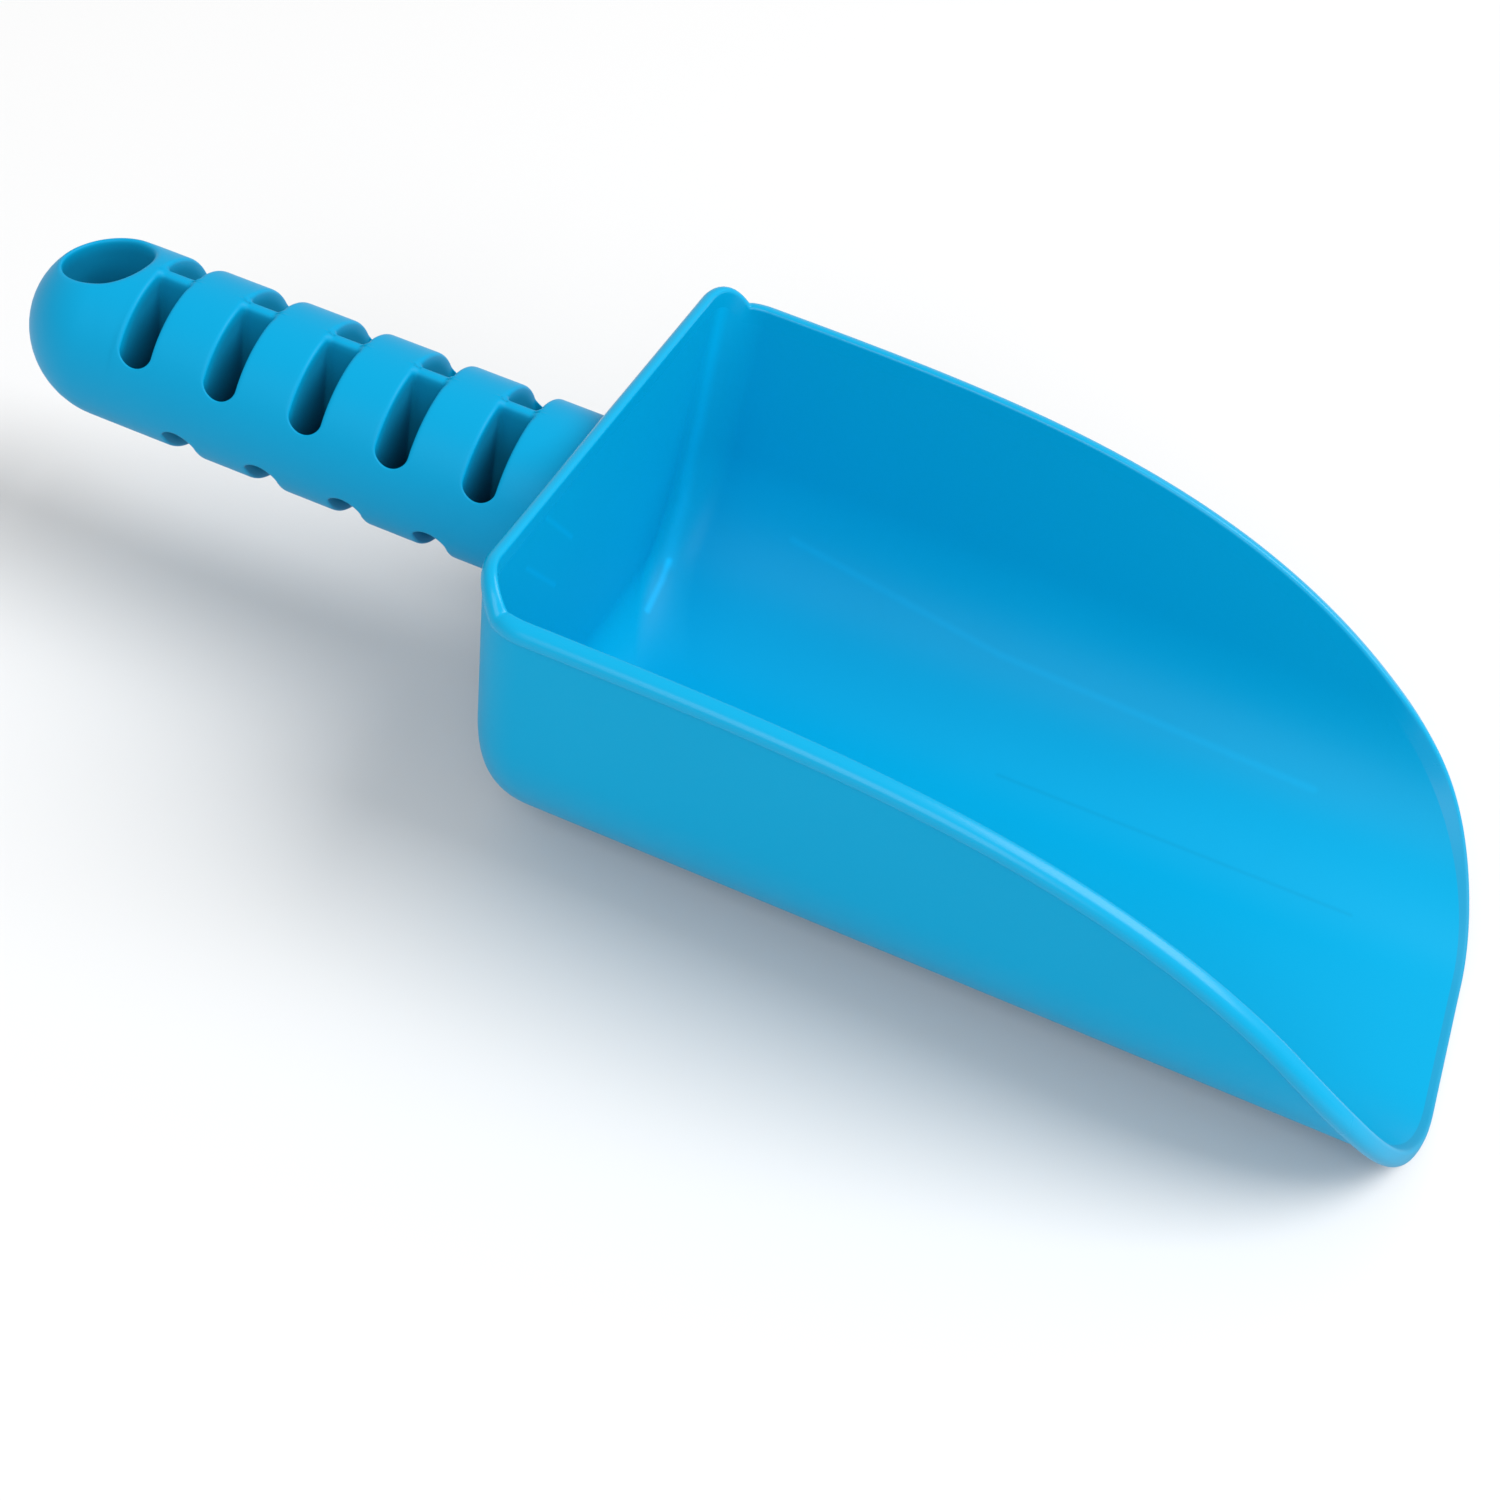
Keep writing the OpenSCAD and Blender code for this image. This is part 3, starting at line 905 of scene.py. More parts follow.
    def _bead(self, outer: np.ndarray, inner: np.ndarray) -> np.ndarray:
        """The rolled bead over the free edge.

        Its section is an upright flank flush with the inner face, a superellipse over the top, and a smooth
        step back to the outer face, drawn across the wall and out of its edge. The direction out of the edge
        is a mean over the stations nearby, weighted by a triangle, so that the bead doesn't fold where the
        edge turns upwards.

        Args:
            outer: the free edge on the outer face, one point a station.
            inner: the free edge on the inner face.

        Returns:
            Points, stations by rows, from the inner face to the outer one, ends included.
        """
        s = self.sizes
        out = unit(outer - inner)
        along = np.roll(outer, -1, axis=0) - np.roll(outer, 1, axis=0)
        square_on = unit(np.cross(out, unit(along)))
        nearby = range(-self.ease, self.ease + 1)
        up = unit(sum((self.ease + 1 - abs(k)) * np.roll(square_on, k, axis=0) for k in nearby))
        width = np.linalg.norm(outer - inner, axis=1)[:, None]
        height = s.bead_size(outer[:, 2])[:, None]
        reach = s.bead_reach(outer[:, 0], outer[:, 2])[:, None]
        drop_in = np.minimum(s.inner_round, height / 2)
        drop_out = s.crown_share * height
        flank = np.linspace(0.0, 1.0, self.flank_rows + 1)[:-1]
        turn = np.linspace(0.0, math.pi / 2, self.crown_rows // 2 + 1)
        cove = np.linspace(1.0, 0.0, self.cove_rows + 1)[1:]
        power = 2 / self.crown_power
        level, steep = np.cos(turn) ** power, np.sin(turn) ** power
        across = [
            -width * np.ones_like(flank),
            -width + drop_in * (1 - level),
            reach - (reach + width - drop_in) * (1 - steep[1:]),
            reach * smooth(cove),
        ]
        upwards = [
            (height - drop_in) * flank,
            height - drop_in * (1 - steep),
            height - drop_out * (1 - level[1:]),
            (height - drop_out) * cove,
        ]
        across, upwards = np.concatenate(across, axis=1), np.concatenate(upwards, axis=1)
        return outer[:, None] + out[:, None] * across[..., None] + up[:, None] * upwards[..., None]

    def surface(self) -> tuple[np.ndarray, np.ndarray, int, int]:
        """Works out the whole grid.

        A normal is the cross product of the differences to the neighbours in its row and in its station.

        Returns:
            Points, their outward normals, and the first and last row of the bead.
        """
        inner, outer = self._face(self.sizes.wall), self._face(0.0)
        bead = self._bead(outer[:, -1], inner[:, -1])
        grid = np.concatenate([inner[:, :-1], bead, outer[:, :-1][:, ::-1]], axis=1)
        along = np.roll(grid, -1, axis=0) - np.roll(grid, 1, axis=0)
        normals = unit(np.cross(np.gradient(grid, axis=1), along))
        normals[:, 0] = (0.0, 0.0, 1.0)
        normals[:, -1] = (0.0, 0.0, -1.0)
        first = inner.shape[1] - 1
        return grid, normals, first, first + bead.shape[1] - 1

    @staticmethod
    def _fill_core(skin: Skin, loop: np.ndarray, upwards: bool) -> None:
        """Fills the middle of the floor with strips between matching stations left and right.

        Args:
            skin: the surface to add to.
            loop: point numbers round the middle, from the lip's side.
            upwards: whether the patch faces up.
        """
        ring = loop.tolist()
        half = len(ring) // 2
        strips = [(ring[0], ring[1], ring[-1]), (ring[half - 1], ring[half], ring[half + 1])]
        strips += [(ring[k], ring[k + 1], ring[-k - 1], ring[-k]) for k in range(1, half - 1)]
        skin.faces.extend(strip if upwards else strip[::-1] for strip in strips)

    def build(self) -> dict[str, bpy.types.Object]:
        """Makes the bowl's shell and its rolled rim, each closed, with the same normals where they meet.

        Returns:
            The two pieces by name.
        """
        grid, normals, first, last = self.surface()
        shell = Skin(self.origin)
        inside = shell.add_points(grid[:, : first + 1])
        outside = shell.add_points(grid[:, last:])
        shell.add_quads(inside, Turn.ROWS_THEN_ROUND, closed=True)
        shell.add_quads(outside, Turn.ROWS_THEN_ROUND, closed=True)
        self._fill_core(shell, inside[:, 0], upwards=True)
        self._fill_core(shell, outside[:, -1], upwards=False)
        shell.add_band(inside[:, -1], outside[:, 0])
        shell_normals = [part.reshape(-1, 3) for part in (normals[:, : first + 1], normals[:, last:])]

        rim = Skin(self.origin)
        bead = rim.add_points(grid[:, first : last + 1])
        rim.add_quads(bead, Turn.ROWS_THEN_ROUND, closed=True)
        rim.add_band(bead[:, -1], bead[:, 0])
        rim_normals = normals[:, first : last + 1].reshape(-1, 3)
        return {
            "bowl_shell": shell.to_object("bowl_shell", normals=np.concatenate(shell_normals)),
            "rolled_rim": rim.to_object("rolled_rim", normals=rim_normals),
        }

    def dressings(self) -> dict[str, Dressing]:
        """What the shell and the rim wear: the same blue, glossier on the rim.

        The shell is marked with a line along each side of the floor, a faint ridge with a painted highlight
        along each side wall, a painted sheen and a painted glint down each inside corner, and two lighter
        strokes on the back wall. The rim is duller round the lip and darkened there with painted shade.

        Returns:
            The two pieces' dressings by name.
        """
        wall = self.sizes.wall
        floor_line = ((86.0, 22.5, 3.5), (160.0, 22.4, 3.5))
        # A faint ridge along each side wall, lightened as a painted highlight.
        side_ridge_and_highlight = ((28.5, 46.3, 21.9), (77.0, 42.5, 16.3), (145.0, 40.9, 14.4))
        # Painted highlights down each inside corner: a soft sheen above and a bright glint at its foot.
        painted_corner_sheen = ((3.2, 49.6, 66.0), (3.7, 47.0, 41.1), (4.5, 43.8, 23.2), (5.8, 36.8, 12.4))
        painted_corner_glint = ((5.8, 36.8, 12.4), (6.1, 33.0, 9.6), (6.3, 26.3, 6.8))
        high_stroke = ((wall, -28.4, 66.3), (wall, -14.5, 52.5))
        low_stroke = ((wall, -34.8, 59.5), (wall, -19.8, 44.9))
        # Painted shade that darkens the rim's lit band round the lip; the same mark also dulls it.
        lip_painted_shade = ((190.0, -10.0, 0.0), (190.0, 10.0, 0.0))
        shell = Finish(
            name="bowl_gloss",
            roughness=0.38,
            swell=0.03,
            specular=0.07,
            marks=(
                Mark(floor_line, width=0.8, both_sides=True, tone=-0.07, rise=-0.004),
                Mark(side_ridge_and_highlight, width=1.3, both_sides=True, tone=0.07, rise=0.006),
                Mark(painted_corner_sheen, width=2.6, both_sides=True, tone=0.13),
                Mark(painted_corner_glint, width=1.2, both_sides=True, tone=0.3),
                Mark(high_stroke, width=0.9, tone=0.1),
                Mark(low_stroke, width=0.9, tone=0.1),
            ),
        )
        rim = Finish(
            name="rim_gloss",
            roughness=0.24,
            swell=0.01,
            specular=0.22,
            marks=(Mark(lip_painted_shade, width=60.0, core=22.0, tone=-0.18, dull=0.3),),
        )
        return {
            "bowl_shell": Dressing(shell, ("bowl_floor", "left_wall", "right_wall", "back_wall")),
            "rolled_rim": Dressing(rim, ("rim_left", "rim_right", "rim_back", "front_lip")),
        }


@dataclass(frozen=True)
class HandleSizes:
    """Sizes of the handle, as the solids have them.

    Attributes:
        radius: outer radius.
        axis_z: height of its axis above the ground.
        first_slot: distance from the back wall to the middle of the first slot.
        pitch: spacing of the slots.
        slot_count: slots in the top.
        slot: width of a slot.
        web: thickness of the upright web.
        shell: thickness behind each slot.
        slot_round: how far the rounded end of a slot's mouth bulges.
        skin: thickness outside the rounded ends of a slot's mouth.
        web_drop: depth of the web's crest below the rings.
        end: length from the last slot to the tip.
        hole: diameter of the hanging hole.
        hole_wall: wall between the last slot and the hole.
    """

    radius: float = 17.5
    axis_z: float = 47.8
    first_slot: float = 16.35
    pitch: float = 17.84
    slot_count: int = 5
    slot: float = 6.5
    web: float = 2.4
    shell: float = 2.0
    slot_round: float = 1.3
    skin: float = 1.1
    web_drop: float = 0.6
    end: float = 26.7
    hole: float = 17.0
    hole_wall: float = 3.6

    @property
    def last_edge(self) -> float:
        """Distance from the back wall to the far side of the last slot."""
        return self.first_slot + (self.slot_count - 1) * self.pitch + self.slot / 2

    @property
    def length(self) -> float:
        """Distance from the back wall to the tip."""
        return self.last_edge + self.end

    @property
    def hole_x(self) -> float:
        """Place of the hole's middle along the handle."""
        return -(self.last_edge + self.hole_wall + self.hole / 2)

    @property
    def dome_x(self) -> float:
        """Place of the domed end's centre along the handle."""
        return self.radius - self.length

    @property
    def end_x(self) -> float:
        """Where the slotted grip gives way to the end piece: halfway between last slot and hole."""
        return -(self.last_edge + self.hole_wall / 2)

    @property
    def side(self) -> float:
        """Unrolled distance from the crest to the side of the bar, a quarter of its girth."""
        return self.radius * math.pi / 2


@dataclass(frozen=True)
class Patch:
    """Half a pocket and the quarter of the bar round it.

    Attributes:
        centre: the pocket's middle along the bar.
        right: distance from there to the patch's end towards the bowl.
        left: distance to its end towards the tip.
        depth: depth of the web's crest below the rings.
        rooted: whether it ends at the bowl, where its points crowd together.
    """

    centre: float
    right: float
    left: float
    depth: float = 0.0
    rooted: bool = False


@dataclass
class Handle(SubAssembly):
    """The slotted grip and the end with the hanging hole, built from patches that share their edges.

    The bar is unrolled to a flat sheet: a point is its place along the bar and its distance round from the
    crest. Each patch is a grid between an outer loop and a pocket's mouth on that sheet, then over the
    mouth's rounded edge and down into the pocket.

    Attributes:
        sizes: the handle's sizes.
        origin: the part's origin in the maker's frame.
        along: steps along the bar from one side of a patch to the other.
        down: steps from the crest to the side of the bar.
        skin_rows: rows on the bar's skin.
        edge_rows: rows over a mouth's rounded edge.
        pocket_rows: rows down a pocket.
        edge_round: distance that the rounding takes on each side of a slot's edge.
        hole_round: the same at the hanging hole.
        corner_round: radius of a pocket's corners at the web, seen from above.
        corner_points: points on each half of such a corner.
        side_blend: width of the blend between a pocket's outline and its section.
        base_share: how deep a pocket goes, as a share of its section's base radius.
        crest_inset: how far inside a slot's sides the lowered crest of the web starts to rise.
        crest_rise: distance along the bar over which it rises.
        crest_spread: distance across the bar over which it rises beside the web.
        flat_steps: steps along the end piece in front of the dome.
        dome_steps: steps round the dome.
        root_flare: how far the root swells where it meets the bowl.
        flare_length: length of that swell.
        into_wall: how far the root runs on inside the back wall.
        crest_shares: places of the points along a patch's crest, as shares of its half length.
        root_shares: the same along the root, closer together at the bowl.
        shade_from: depth below the skin at which the pockets' faces start to darken.
        shade_to: depth at which they have their first tone.
        shade_core: distance from the axis within which they have their second, deeper tone.
        weld: distance within which the patches' points are joined.
    """

    sizes: HandleSizes
    origin: tuple[float, float, float]
    along: int = 16
    down: int = 20
    skin_rows: int = 9
    edge_rows: int = 6
    pocket_rows: int = 14
    edge_round: float = 0.9
    hole_round: float = 1.6
    corner_round: float = 0.8
    corner_points: int = 2
    side_blend: float = 1.0
    base_share: float = 0.975
    crest_inset: float = 0.4
    crest_rise: float = 0.9
    crest_spread: float = 2.0
    flat_steps: int = 6
    dome_steps: int = 56
    root_flare: float = 0.7
    flare_length: float = 1.8
    into_wall: float = 1.0
    crest_shares: tuple[float, ...] = (1.0, 0.78, 0.58, 0.46, 0.40, 0.345, 0.29, 0.16, 0.0)
    root_shares: tuple[float, ...] = (1.0, 0.96, 0.91, 0.85, 0.76, 0.62, 0.44, 0.24, 0.0)
    # shade_from: depth below the skin at which the painted shade on the pockets' faces starts.
    shade_from: float = 0.3
    # shade_to: depth at which that painted shade has its first tone.
    shade_to: float = 3.0
    # shade_core: distance from the axis within which the painted shade has its second, deeper tone.
    shade_core: float = 4.0
    weld: float = 0.004

    def _radius(self, x: np.ndarray) -> np.ndarray:
        """Radius of the bar at x, with the flare at its root."""
        return self.sizes.radius + self.root_flare * (1 - smooth(-x / self.flare_length))

    def _drop(self, x: np.ndarray, y: np.ndarray, centre: float, depth: float) -> np.ndarray:
        """Depth of the web's crest below the rings at a place near a slot.

        It is full between the slot's sides close to the web. A smooth step along the bar and another across
        it take it down to nought.

        Args:
            x: places along the bar.
            y: places across it.
            centre: the slot's middle along the bar.
            depth: depth of the crest in the slot.

        Returns:
            Depths, one for each place.
        """
        s = self.sizes
        beside = smooth((np.abs(x - centre) - (s.slot / 2 - self.crest_inset)) / self.crest_rise)
        away = smooth((np.abs(y) - s.web / 2) / self.crest_spread)
        return depth * (1 - beside) * (1 - away)

    def _roll(
        self, u: np.ndarray, v: np.ndarray, centre: float = 0.0, depth: float = 0.0
    ) -> np.ndarray:
        """Rolls places on the flat sheet up onto the bar's upper half.

        On the bar the distance round gives the angle from the crest. Beyond the dome's centre the same holds
        along each straight line out of it, so the dome unrolls to a half disc.

        Args:
            u: places along the bar.
            v: distances round from the crest.
            centre: the middle of the slot nearby.
            depth: depth of the web's crest there.

        Returns:
            Points about the bar's axis.
        """
        s = self.sizes
        foot = np.maximum(u, s.dome_x)
        du = u - foot
        reach = np.hypot(du, v)
        angle = reach / s.radius
        safe = np.maximum(reach, TINY)
        r = self._radius(foot)
        r = r - self._drop(foot, r * np.sin(angle) * v / safe, centre, depth)
        x, y = foot + r * np.sin(angle) * du / safe, r * np.sin(angle) * v / safe
        return np.stack([x, y, r * np.cos(angle)], axis=-1)

    def _unroll(self, x: np.ndarray, y: np.ndarray) -> tuple[np.ndarray, np.ndarray]:
        """Finds the place on the flat sheet of a point of the upper half seen from above.

        Seen from above, a point's distance from the crest is the radius times the sine of its angle. On the
        sheet it is the radius times the angle.

        Args:
            x: places along the bar.
            y: places across it.

        Returns:
            Places along the bar and distances round from the crest.
        """
        s = self.sizes
        foot = np.maximum(x, s.dome_x)
        reach = np.hypot(x - foot, y)
        grow = s.radius * np.arcsin(np.clip(reach / s.radius, 0.0, 1.0)) / np.maximum(reach, TINY)
        return foot + (x - foot) * grow, y * grow

    def _frame_loop(self, patch: Patch) -> np.ndarray:
        """The rectangle round a pocket on the flat sheet, clockwise from its corner at the crest and +X.

        Args:
            patch: the patch.

        Returns:
            Places on the sheet, one a row.
        """
        even = np.linspace(1.0, 0.0, self.along // 2 + 1)
        crest_shares = np.array(self.crest_shares)
        right_crest = np.array(self.root_shares) if patch.rooted else crest_shares
        right_base = right_crest if patch.rooted else even
        crest = np.concatenate([patch.right * right_crest, -patch.left * crest_shares[::-1][1:]])
        base = np.concatenate([patch.right * right_base, -patch.left * even[::-1][1:]])[::-1]
        v = np.linspace(0.0, self.sizes.side, self.down + 1)
        sides = [
            np.stack([crest, np.zeros_like(crest)], axis=-1),
            np.stack([np.full_like(v, -patch.left), v], axis=-1),
            np.stack([base, np.full_like(base, self.sizes.side)], axis=-1),
            np.stack([np.full_like(v, patch.right), v[::-1]], axis=-1),
        ]
        return np.concatenate([side[:-1] for side in sides]) + np.array([patch.centre, 0.0])

    def _mouth_loop(self) -> np.ndarray:
        """The mouth of a half pocket seen from above, about the slot's middle, matched to the rectangle.

        It is straight along the web and both sides, with small corners at the web and a flat bulge at the
        far end: the outline at a fixed distance from an inset copy of itself. The angle is the way from
        that copy to the outline.

        Returns:
            Points, one a row.
        """
        s = self.sizes
        corner, turns = self.corner_round, self.corner_points
        half_width, near, far = s.slot / 2 - corner, s.web / 2 + corner, s.radius - s.skin - s.slot_round
        along, down = self.along, self.down
        i, j = np.arange(along), np.arange(down)
        step, way = np.minimum(i, along - i), np.where(i < along / 2, 1.0, -1.0)
        half_turn = math.pi * (1 - i / along)
        eighth = math.pi / 4

        def side(number: np.ndarray) -> np.ndarray:
            """Distance from the crest of the side's points, by their numbers from the web."""
            return near + (far - near) * np.clip(number - turns, 0, None) / (down - turns)

        web = np.where(step < turns, way, 1 - 2 * (i - turns) / (along - 2 * turns))
        bulge = far + (s.slot_round - corner) * np.sin(half_turn)
        x = [web, np.full(down, -1.0), np.cos(half_turn), np.full(down, 1.0)]
        y = [np.full(along, near), side(j), bulge, side(down - j)]
        angle = [
            -2 * eighth + way * eighth * np.clip(1 - step / turns, 0.0, None),
            -3 * eighth - eighth * np.minimum(j / turns, 1.0),
            half_turn,
            -eighth + eighth * np.minimum((down - j) / turns, 1.0),
        ]
        x, y, angle = half_width * np.concatenate(x), np.concatenate(y), np.concatenate(angle)
        return np.stack([x + corner * np.cos(angle), y + corner * np.sin(angle)], axis=-1)

    def _rounded(
        self,
        frame: np.ndarray,
        mouth: np.ndarray,
        lead: float,
        centre: float = 0.0,
        depth: float = 0.0,
    ) -> tuple[np.ndarray, np.ndarray]:
        """The skin from a frame to a mouth, and the mouth's sharp edge before it is rounded.

        The skin runs straight on the flat sheet from the frame to a line that is lead outside the mouth.

        Args:
            frame: the outer loop on the flat sheet.
            mouth: the mouth seen from above.
            lead: distance that the rounding will take on each side of the edge.
            centre: the middle of the slot nearby.
            depth: depth of the web's crest there.

        Returns:
            The skin's points, stations by rows, and the sharp edge's points.
        """
        edge_u, edge_v = self._unroll(mouth[:, 0], mouth[:, 1])
        edge = np.stack([edge_u, edge_v], axis=-1)
        tangent = unit(np.roll(edge, -1, axis=0) - np.roll(edge, 1, axis=0))
        outward = np.stack([tangent[:, 1], -tangent[:, 0]], axis=-1)
        outward *= np.sign(np.sum(outward * (frame - edge), axis=1).mean())
        start = edge + outward * lead
        share = np.linspace(0.0, 1.0, self.skin_rows + 1)[None, :, None]
        sheet = frame[:, None] + (start - frame)[:, None] * share
        skin = self._roll(sheet[..., 0], sheet[..., 1], centre, depth)
        return skin, self._roll(edge_u, edge_v, centre, depth)

    def _edge_rows(self, start: np.ndarray, sharp: np.ndarray, end: np.ndarray) -> np.ndarray:
        """Rounds a sharp edge with a curve that leaves start and reaches end along the lines to the edge."""
        # It is (1-t)^2 start + 2t(1-t) sharp + t^2 end, in rows with t from 0, which is left out, to 1.
        t = np.linspace(0.0, 1.0, self.edge_rows + 1)[1:][None, :, None]
        return (1 - t) ** 2 * start[:, None] + 2 * t * (1 - t) * sharp[:, None] + t**2 * end[:, None]

    def _pocket(self, patch: Patch) -> np.ndarray:
        """One half pocket with the quarter of the bar round it, on the upper left.

        Below the mouth a row keeps the mouth's outline, but no further out than the pocket's section lets it
        at that height: a straight side that narrows down to the axis, then an arc.

        Args:
            patch: the patch.

        Returns:
            Points about the bar's axis, stations by rows.
        """
        s = self.sizes
        mouth = self._mouth_loop() + np.array([patch.centre, 0.0])
        frame = self._frame_loop(patch)
        skin, sharp = self._rounded(frame, mouth, self.edge_round, patch.centre, patch.depth)
        base, reach = s.radius - s.shell, s.radius - s.skin
        mouth_z = math.sqrt(s.radius**2 - reach**2)
        top = sharp[:, 2:] - self.edge_round
        sink = np.sin(np.linspace(0.0, 1.0, self.pocket_rows + 1) * math.pi / 2)
        z = top + (-base * self.base_share - top) * sink
        narrowing = base + (reach - base) * np.clip(z / mouth_z, 0.0, 1.0)
        limit = np.where(z >= 0.0, narrowing, np.sqrt(np.clip(base**2 - z**2, 0.0, None)))
        y = soft_min(np.broadcast_to(mouth[:, 1:2], z.shape), limit, self.side_blend)
        inside = np.stack([np.broadcast_to(mouth[:, :1], z.shape), y, z], axis=-1)
        edge = self._edge_rows(skin[:, -1], sharp, inside[:, 0])
        return np.concatenate([skin, edge, inside[:, 1:]], axis=1)

    def _end(self) -> np.ndarray:
        """Upper half of the domed end with its round hole, down to the middle of the hole.

        Its outer loop runs round the end piece's girth, then along the side, round the dome and back. The
        hole's wall is upright.

        Returns:
            Points about the bar's axis, stations by rows.
        """
        s = self.sizes
        v = np.linspace(s.side, -s.side, 2 * self.down + 1)[:-1]
        out = np.linspace(s.end_x, s.dome_x, self.flat_steps + 1)[:-1]
        turn = np.linspace(-math.pi / 2, -3 * math.pi / 2, self.dome_steps + 1)[:-1]
        back = np.linspace(s.dome_x, s.end_x, self.flat_steps + 1)[:-1]
        frame = np.concatenate(
            [
                np.stack([np.full_like(v, s.end_x), v], axis=-1),
                np.stack([out, np.full_like(out, -s.side)], axis=-1),
                np.stack([s.dome_x + s.side * np.cos(turn), s.side * np.sin(turn)], axis=-1),
                np.stack([back, np.full_like(back, s.side)], axis=-1),
            ]
        )
        middle = np.array([s.hole_x, 0.0])
        mouth = middle + unit(frame - middle) * s.hole / 2
        skin, sharp = self._rounded(frame, mouth, self.hole_round)
        top = sharp - np.array([0.0, 0.0, self.hole_round])
        height = np.linspace(1.0, 0.0, self.pocket_rows + 1)[None, 1:, None]
        wall = top[:, None] * np.concatenate([np.ones_like(height), np.ones_like(height), height], axis=-1)
        return np.concatenate([skin, self._edge_rows(skin[:, -1], sharp, top), wall], axis=1)

    def _plain(self, u: np.ndarray) -> np.ndarray:
        """A quarter of the bar without a pocket, from the crest to the left side, at the places u."""
        v = np.linspace(0.0, self.sizes.side, self.down + 1)
        return self._roll(*np.meshgrid(u, v, indexing="ij"))

    def _place(
        self, skin: Skin, grid: np.ndarray, mirror: tuple[int, int], closed: bool, cap: bool
    ) -> None:
        """Adds a patch of the upper left quarter to a surface, mirrored to where it belongs.

        Args:
            skin: the surface to add to.
            grid: the patch's points about the bar's axis.
            mirror: -1 to mirror left to right, and top to bottom, else 1.
            closed: whether its first axis joins up with itself.
            cap: whether its last row is closed with one face.
        """
        turned = grid * np.array([1.0, mirror[0], mirror[1]]) + np.array([0.0, 0.0, self.sizes.axis_z])
        numbers = skin.add_points(turned)
        same = mirror[0] * mirror[1] > 0
        skin.add_quads(numbers, Turn.ROWS_THEN_ROUND if same else Turn.ROUND_THEN_ROWS, closed)
        if cap:
            loop = numbers[:, -1]
            skin.add_cap(loop[::-1] if same else loop)

    def _ring(self, skin: Skin, x: float) -> np.ndarray:
        """Adds a circle of points round the bar.

        Args:
            skin: the surface to add to.
            x: the circle's place along the bar.

        Returns:
            The points' numbers.
        """
        angle = np.linspace(0.0, 2 * math.pi, 4 * self.down + 1)[:-1]
        r = float(self._radius(np.array(min(x, 0.0))))
        ring = np.stack([np.full_like(angle, x), r * np.sin(angle), r * np.cos(angle)], axis=-1)
        return skin.add_points(ring + np.array([0.0, 0.0, self.sizes.axis_z]))

    def build(self) -> dict[str, bpy.types.Object]:
        """Makes the handle as one closed piece.

        Returns:
            The piece by name.
        """
        s = self.sizes
        skin = Skin(self.origin)
        half = s.pitch / 2
        root_mid = -(s.first_slot - half)
        slots = [-(s.first_slot + i * s.pitch) for i in range(s.slot_count)]
        upper = [Patch(x, half, half, s.web_drop) for x in slots[:-1]]
        upper.append(Patch(slots[-1], half, slots[-1] - s.end_x, s.web_drop))
        lower = [Patch(root_mid, -root_mid, half, rooted=True)]
        lower += [Patch(x - half, half, half) for x in slots[:-1]]
        root = root_mid * (1 - np.array(self.root_shares))
        tail = slots[-1] + (s.end_x - slots[-1]) * np.linspace(1.0, 0.0, self.along // 2 + 1)[::-1]
        for side in (1, -1):
            for patch in upper:
                self._place(skin, self._pocket(patch), (side, 1), closed=True, cap=True)
            for patch in lower:
                self._place(skin, self._pocket(patch), (side, -1), closed=True, cap=True)
            self._place(skin, self._plain(root), (side, 1), closed=False, cap=False)
            self._place(skin, self._plain(tail), (side, -1), closed=False, cap=False)
        for top in (1, -1):
            self._place(skin, self._end(), (1, top), closed=True, cap=False)
        near, deep = self._ring(skin, 0.0), self._ring(skin, self.into_wall)
        skin.add_quads(np.stack([near, deep], axis=1), Turn.ROWS_THEN_ROUND, closed=True)
        skin.add_cap(deep[::-1])
        return {"handle": skin.to_object("handle", weld=self.weld)}

    def dressings(self) -> dict[str, Dressing]:
        """What the handle wears: a satin blue a little deeper than the bowl's, partly its own tone and
        partly because the bowl's blue is raised as painted light.

        Two marks round the bar's axis dull the faces of the pockets and paint shade on them, darker the
        deeper they go.

        Returns:
            The piece's dressing by name.
        """
        s = self.sizes
        axis = ((0.0, 0.0, s.axis_z), (s.dome_x, 0.0, s.axis_z))
        # Radius inside which the pockets' faces have the painted shade's full first tone.
        shaded = s.radius - self.shade_to
        grip = Finish(
            name="grip_satin",
            colour=(0.0, 0.29, 0.53),
            drift=(0.0, 0.272, 0.5),
            roughness=0.42,
            gloss_spread=0.04,
            grain=0.0025,
            swell=0.02,
            specular=0.1,
            marks=(
                Mark(axis, width=s.radius - self.shade_from, core=shaded, tone=-0.3, dull=0.45),
                Mark(axis, width=shaded, core=self.shade_core, tone=-0.3),
            ),
        )
        slots = tuple(f"grip_slot_{i}" for i in range(1, s.slot_count + 1))
        rings = tuple(f"grip_ring_{i}" for i in range(1, s.slot_count))
        return {"handle": Dressing(grip, ("handle_root", "handle_end", *slots, *rings))}


@dataclass(frozen=True)
class SoftLight:
    """A square area light that faces the part.

    Attributes:
        name: the light's name.
        place: where it stands, in metres.
        size: its side, in metres.
        power: its power, in watts.
    """

    name: str
    place: tuple[float, float, float]
    size: float
    power: float

    def build(self) -> None:
        """Adds it to the scene."""
        data = bpy.data.lights.new(self.name, "AREA")
        data.shape, data.size, data.energy = "SQUARE", self.size, self.power
        light = bpy.data.objects.new(self.name, data)
        turn = (-Vector(self.place)).to_track_quat("-Z", "Y")
        light.matrix_world = Matrix.Translation(self.place) @ turn.to_matrix().to_4x4()
        bpy.context.scene.collection.objects.link(light)


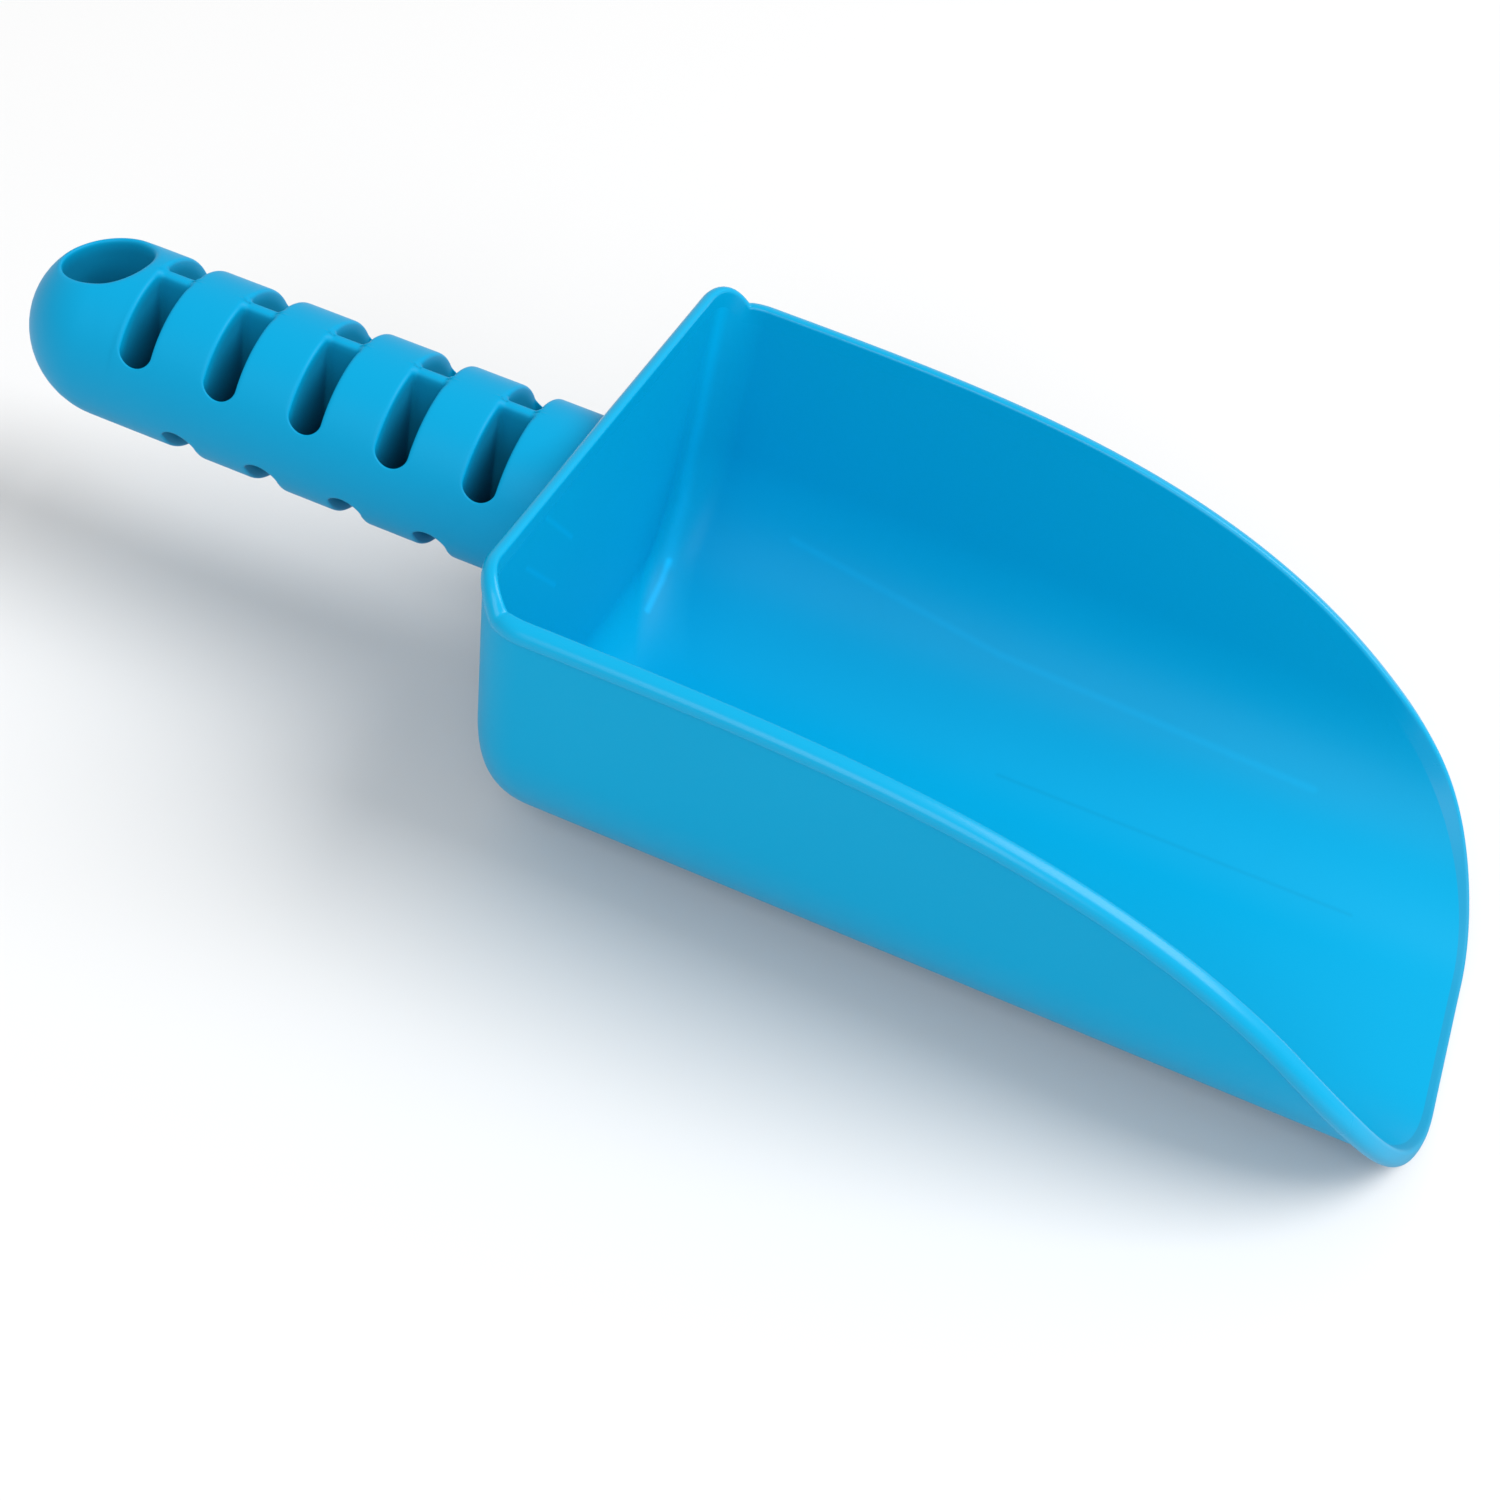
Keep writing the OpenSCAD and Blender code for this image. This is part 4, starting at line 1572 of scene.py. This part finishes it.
@dataclass
class Studio:
    """The pale floor, the soft lights and the camera.

    Attributes:
        lens: focal length in millimetres.
        sensor: width of the sensor in millimetres.
        clip_start: nearest distance that the camera shows, in metres.
        eye: the camera's place in the part's frame, in millimetres.
        azimuth: direction it looks from, in degrees.
        elevation: its height above the horizon, in degrees.
        roll: its turn about its own axis, in degrees.
        floor_reach: distance from the part to the floor's edges, in metres.
        floor_tone: how much of the light the floor gives back.
        floor_roughness: roughness of the floor.
        sky: strength of the even white light from all round.
        lamps: the area lights, one that shapes the part and one that opens its shadows.
    """

    lens: float = 54.99
    sensor: float = 36.0
    clip_start: float = 0.01
    eye: tuple[float, float, float] = (80.133, -321.011, 313.253)
    azimuth: float = 12.825
    elevation: float = 43.046
    roll: float = 13.055
    floor_reach: float = 9.0
    floor_tone: float = 0.68
    floor_roughness: float = 0.9
    sky: float = 0.6
    lamps: tuple[SoftLight, ...] = (
        SoftLight("key_light", place=(2.22, 0.6, 3.12), size=2.7, power=145.0),
        SoftLight("fill_light", place=(0.3, -3.3, 2.55), size=2.7, power=75.0),
    )

    def camera(self) -> None:
        """Sets up the camera: back is the way from the object to it, right and up follow the roll."""
        around, above, roll = (math.radians(v) for v in (self.azimuth, self.elevation, self.roll))
        level = math.cos(above)
        back = Vector((math.sin(around) * level, -math.cos(around) * level, math.sin(above)))
        right = Vector((math.cos(around), math.sin(around), 0.0))
        up = back.cross(right)
        x_axis = math.cos(roll) * right + math.sin(roll) * up
        y_axis = -math.sin(roll) * right + math.cos(roll) * up
        data = bpy.data.cameras.new("camera")
        data.lens, data.sensor_width, data.clip_start = self.lens, self.sensor, self.clip_start
        camera = bpy.data.objects.new("camera", data)
        turn = Matrix((x_axis, y_axis, back)).transposed().to_4x4()
        camera.matrix_world = Matrix.Translation(Vector(self.eye) * METRES) @ turn
        bpy.context.scene.collection.objects.link(camera)
        bpy.context.scene.camera = camera

    def floor(self) -> None:
        """Lays a wide pale floor at the ground."""
        mesh = bpy.data.meshes.new("studio_floor")
        far = self.floor_reach
        corners = [(-far, -far, 0), (far, -far, 0), (far, far, 0), (-far, far, 0)]
        mesh.from_pydata(corners, [], [(0, 1, 2, 3)])
        floor = bpy.data.objects.new("studio_floor", mesh)
        bpy.context.scene.collection.objects.link(floor)
        material = bpy.data.materials.new("pale_floor")
        material.use_nodes = True
        shader = material.node_tree.nodes["Principled BSDF"]
        shader.inputs["Base Color"].default_value = (self.floor_tone, self.floor_tone, self.floor_tone, 1.0)
        shader.inputs["Roughness"].default_value = self.floor_roughness
        mesh.materials.append(material)

    def lights(self) -> None:
        """Adds a soft sky and the lamps, and shows colours as they are, without a film's curve."""
        bpy.context.scene.view_settings.view_transform = "Standard"
        world = bpy.data.worlds.new("studio")
        bpy.context.scene.world = world
        world.use_nodes = True
        background = world.node_tree.nodes["Background"]
        background.inputs["Color"].default_value = (1.0, 1.0, 1.0, 1.0)
        background.inputs["Strength"].default_value = self.sky
        for lamp in self.lamps:
            lamp.build()

    def build(self) -> None:
        """Sets up the whole studio."""
        self.camera()
        self.floor()
        self.lights()


def main() -> None:
    """Builds the studio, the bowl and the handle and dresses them."""
    logging.basicConfig(level=logging.INFO, format="%(name)s: %(message)s")
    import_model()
    bowl_sizes, handle_sizes = BowlSizes(), HandleSizes()
    origin = ((bowl_sizes.length - handle_sizes.length) / 2, 0.0, 0.0)
    Studio().build()
    effects = Effects()
    Bowl(bowl_sizes, origin).dress(effects)
    Handle(handle_sizes, origin).dress(effects)
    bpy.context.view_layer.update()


if __name__ == "__main__":
    main()
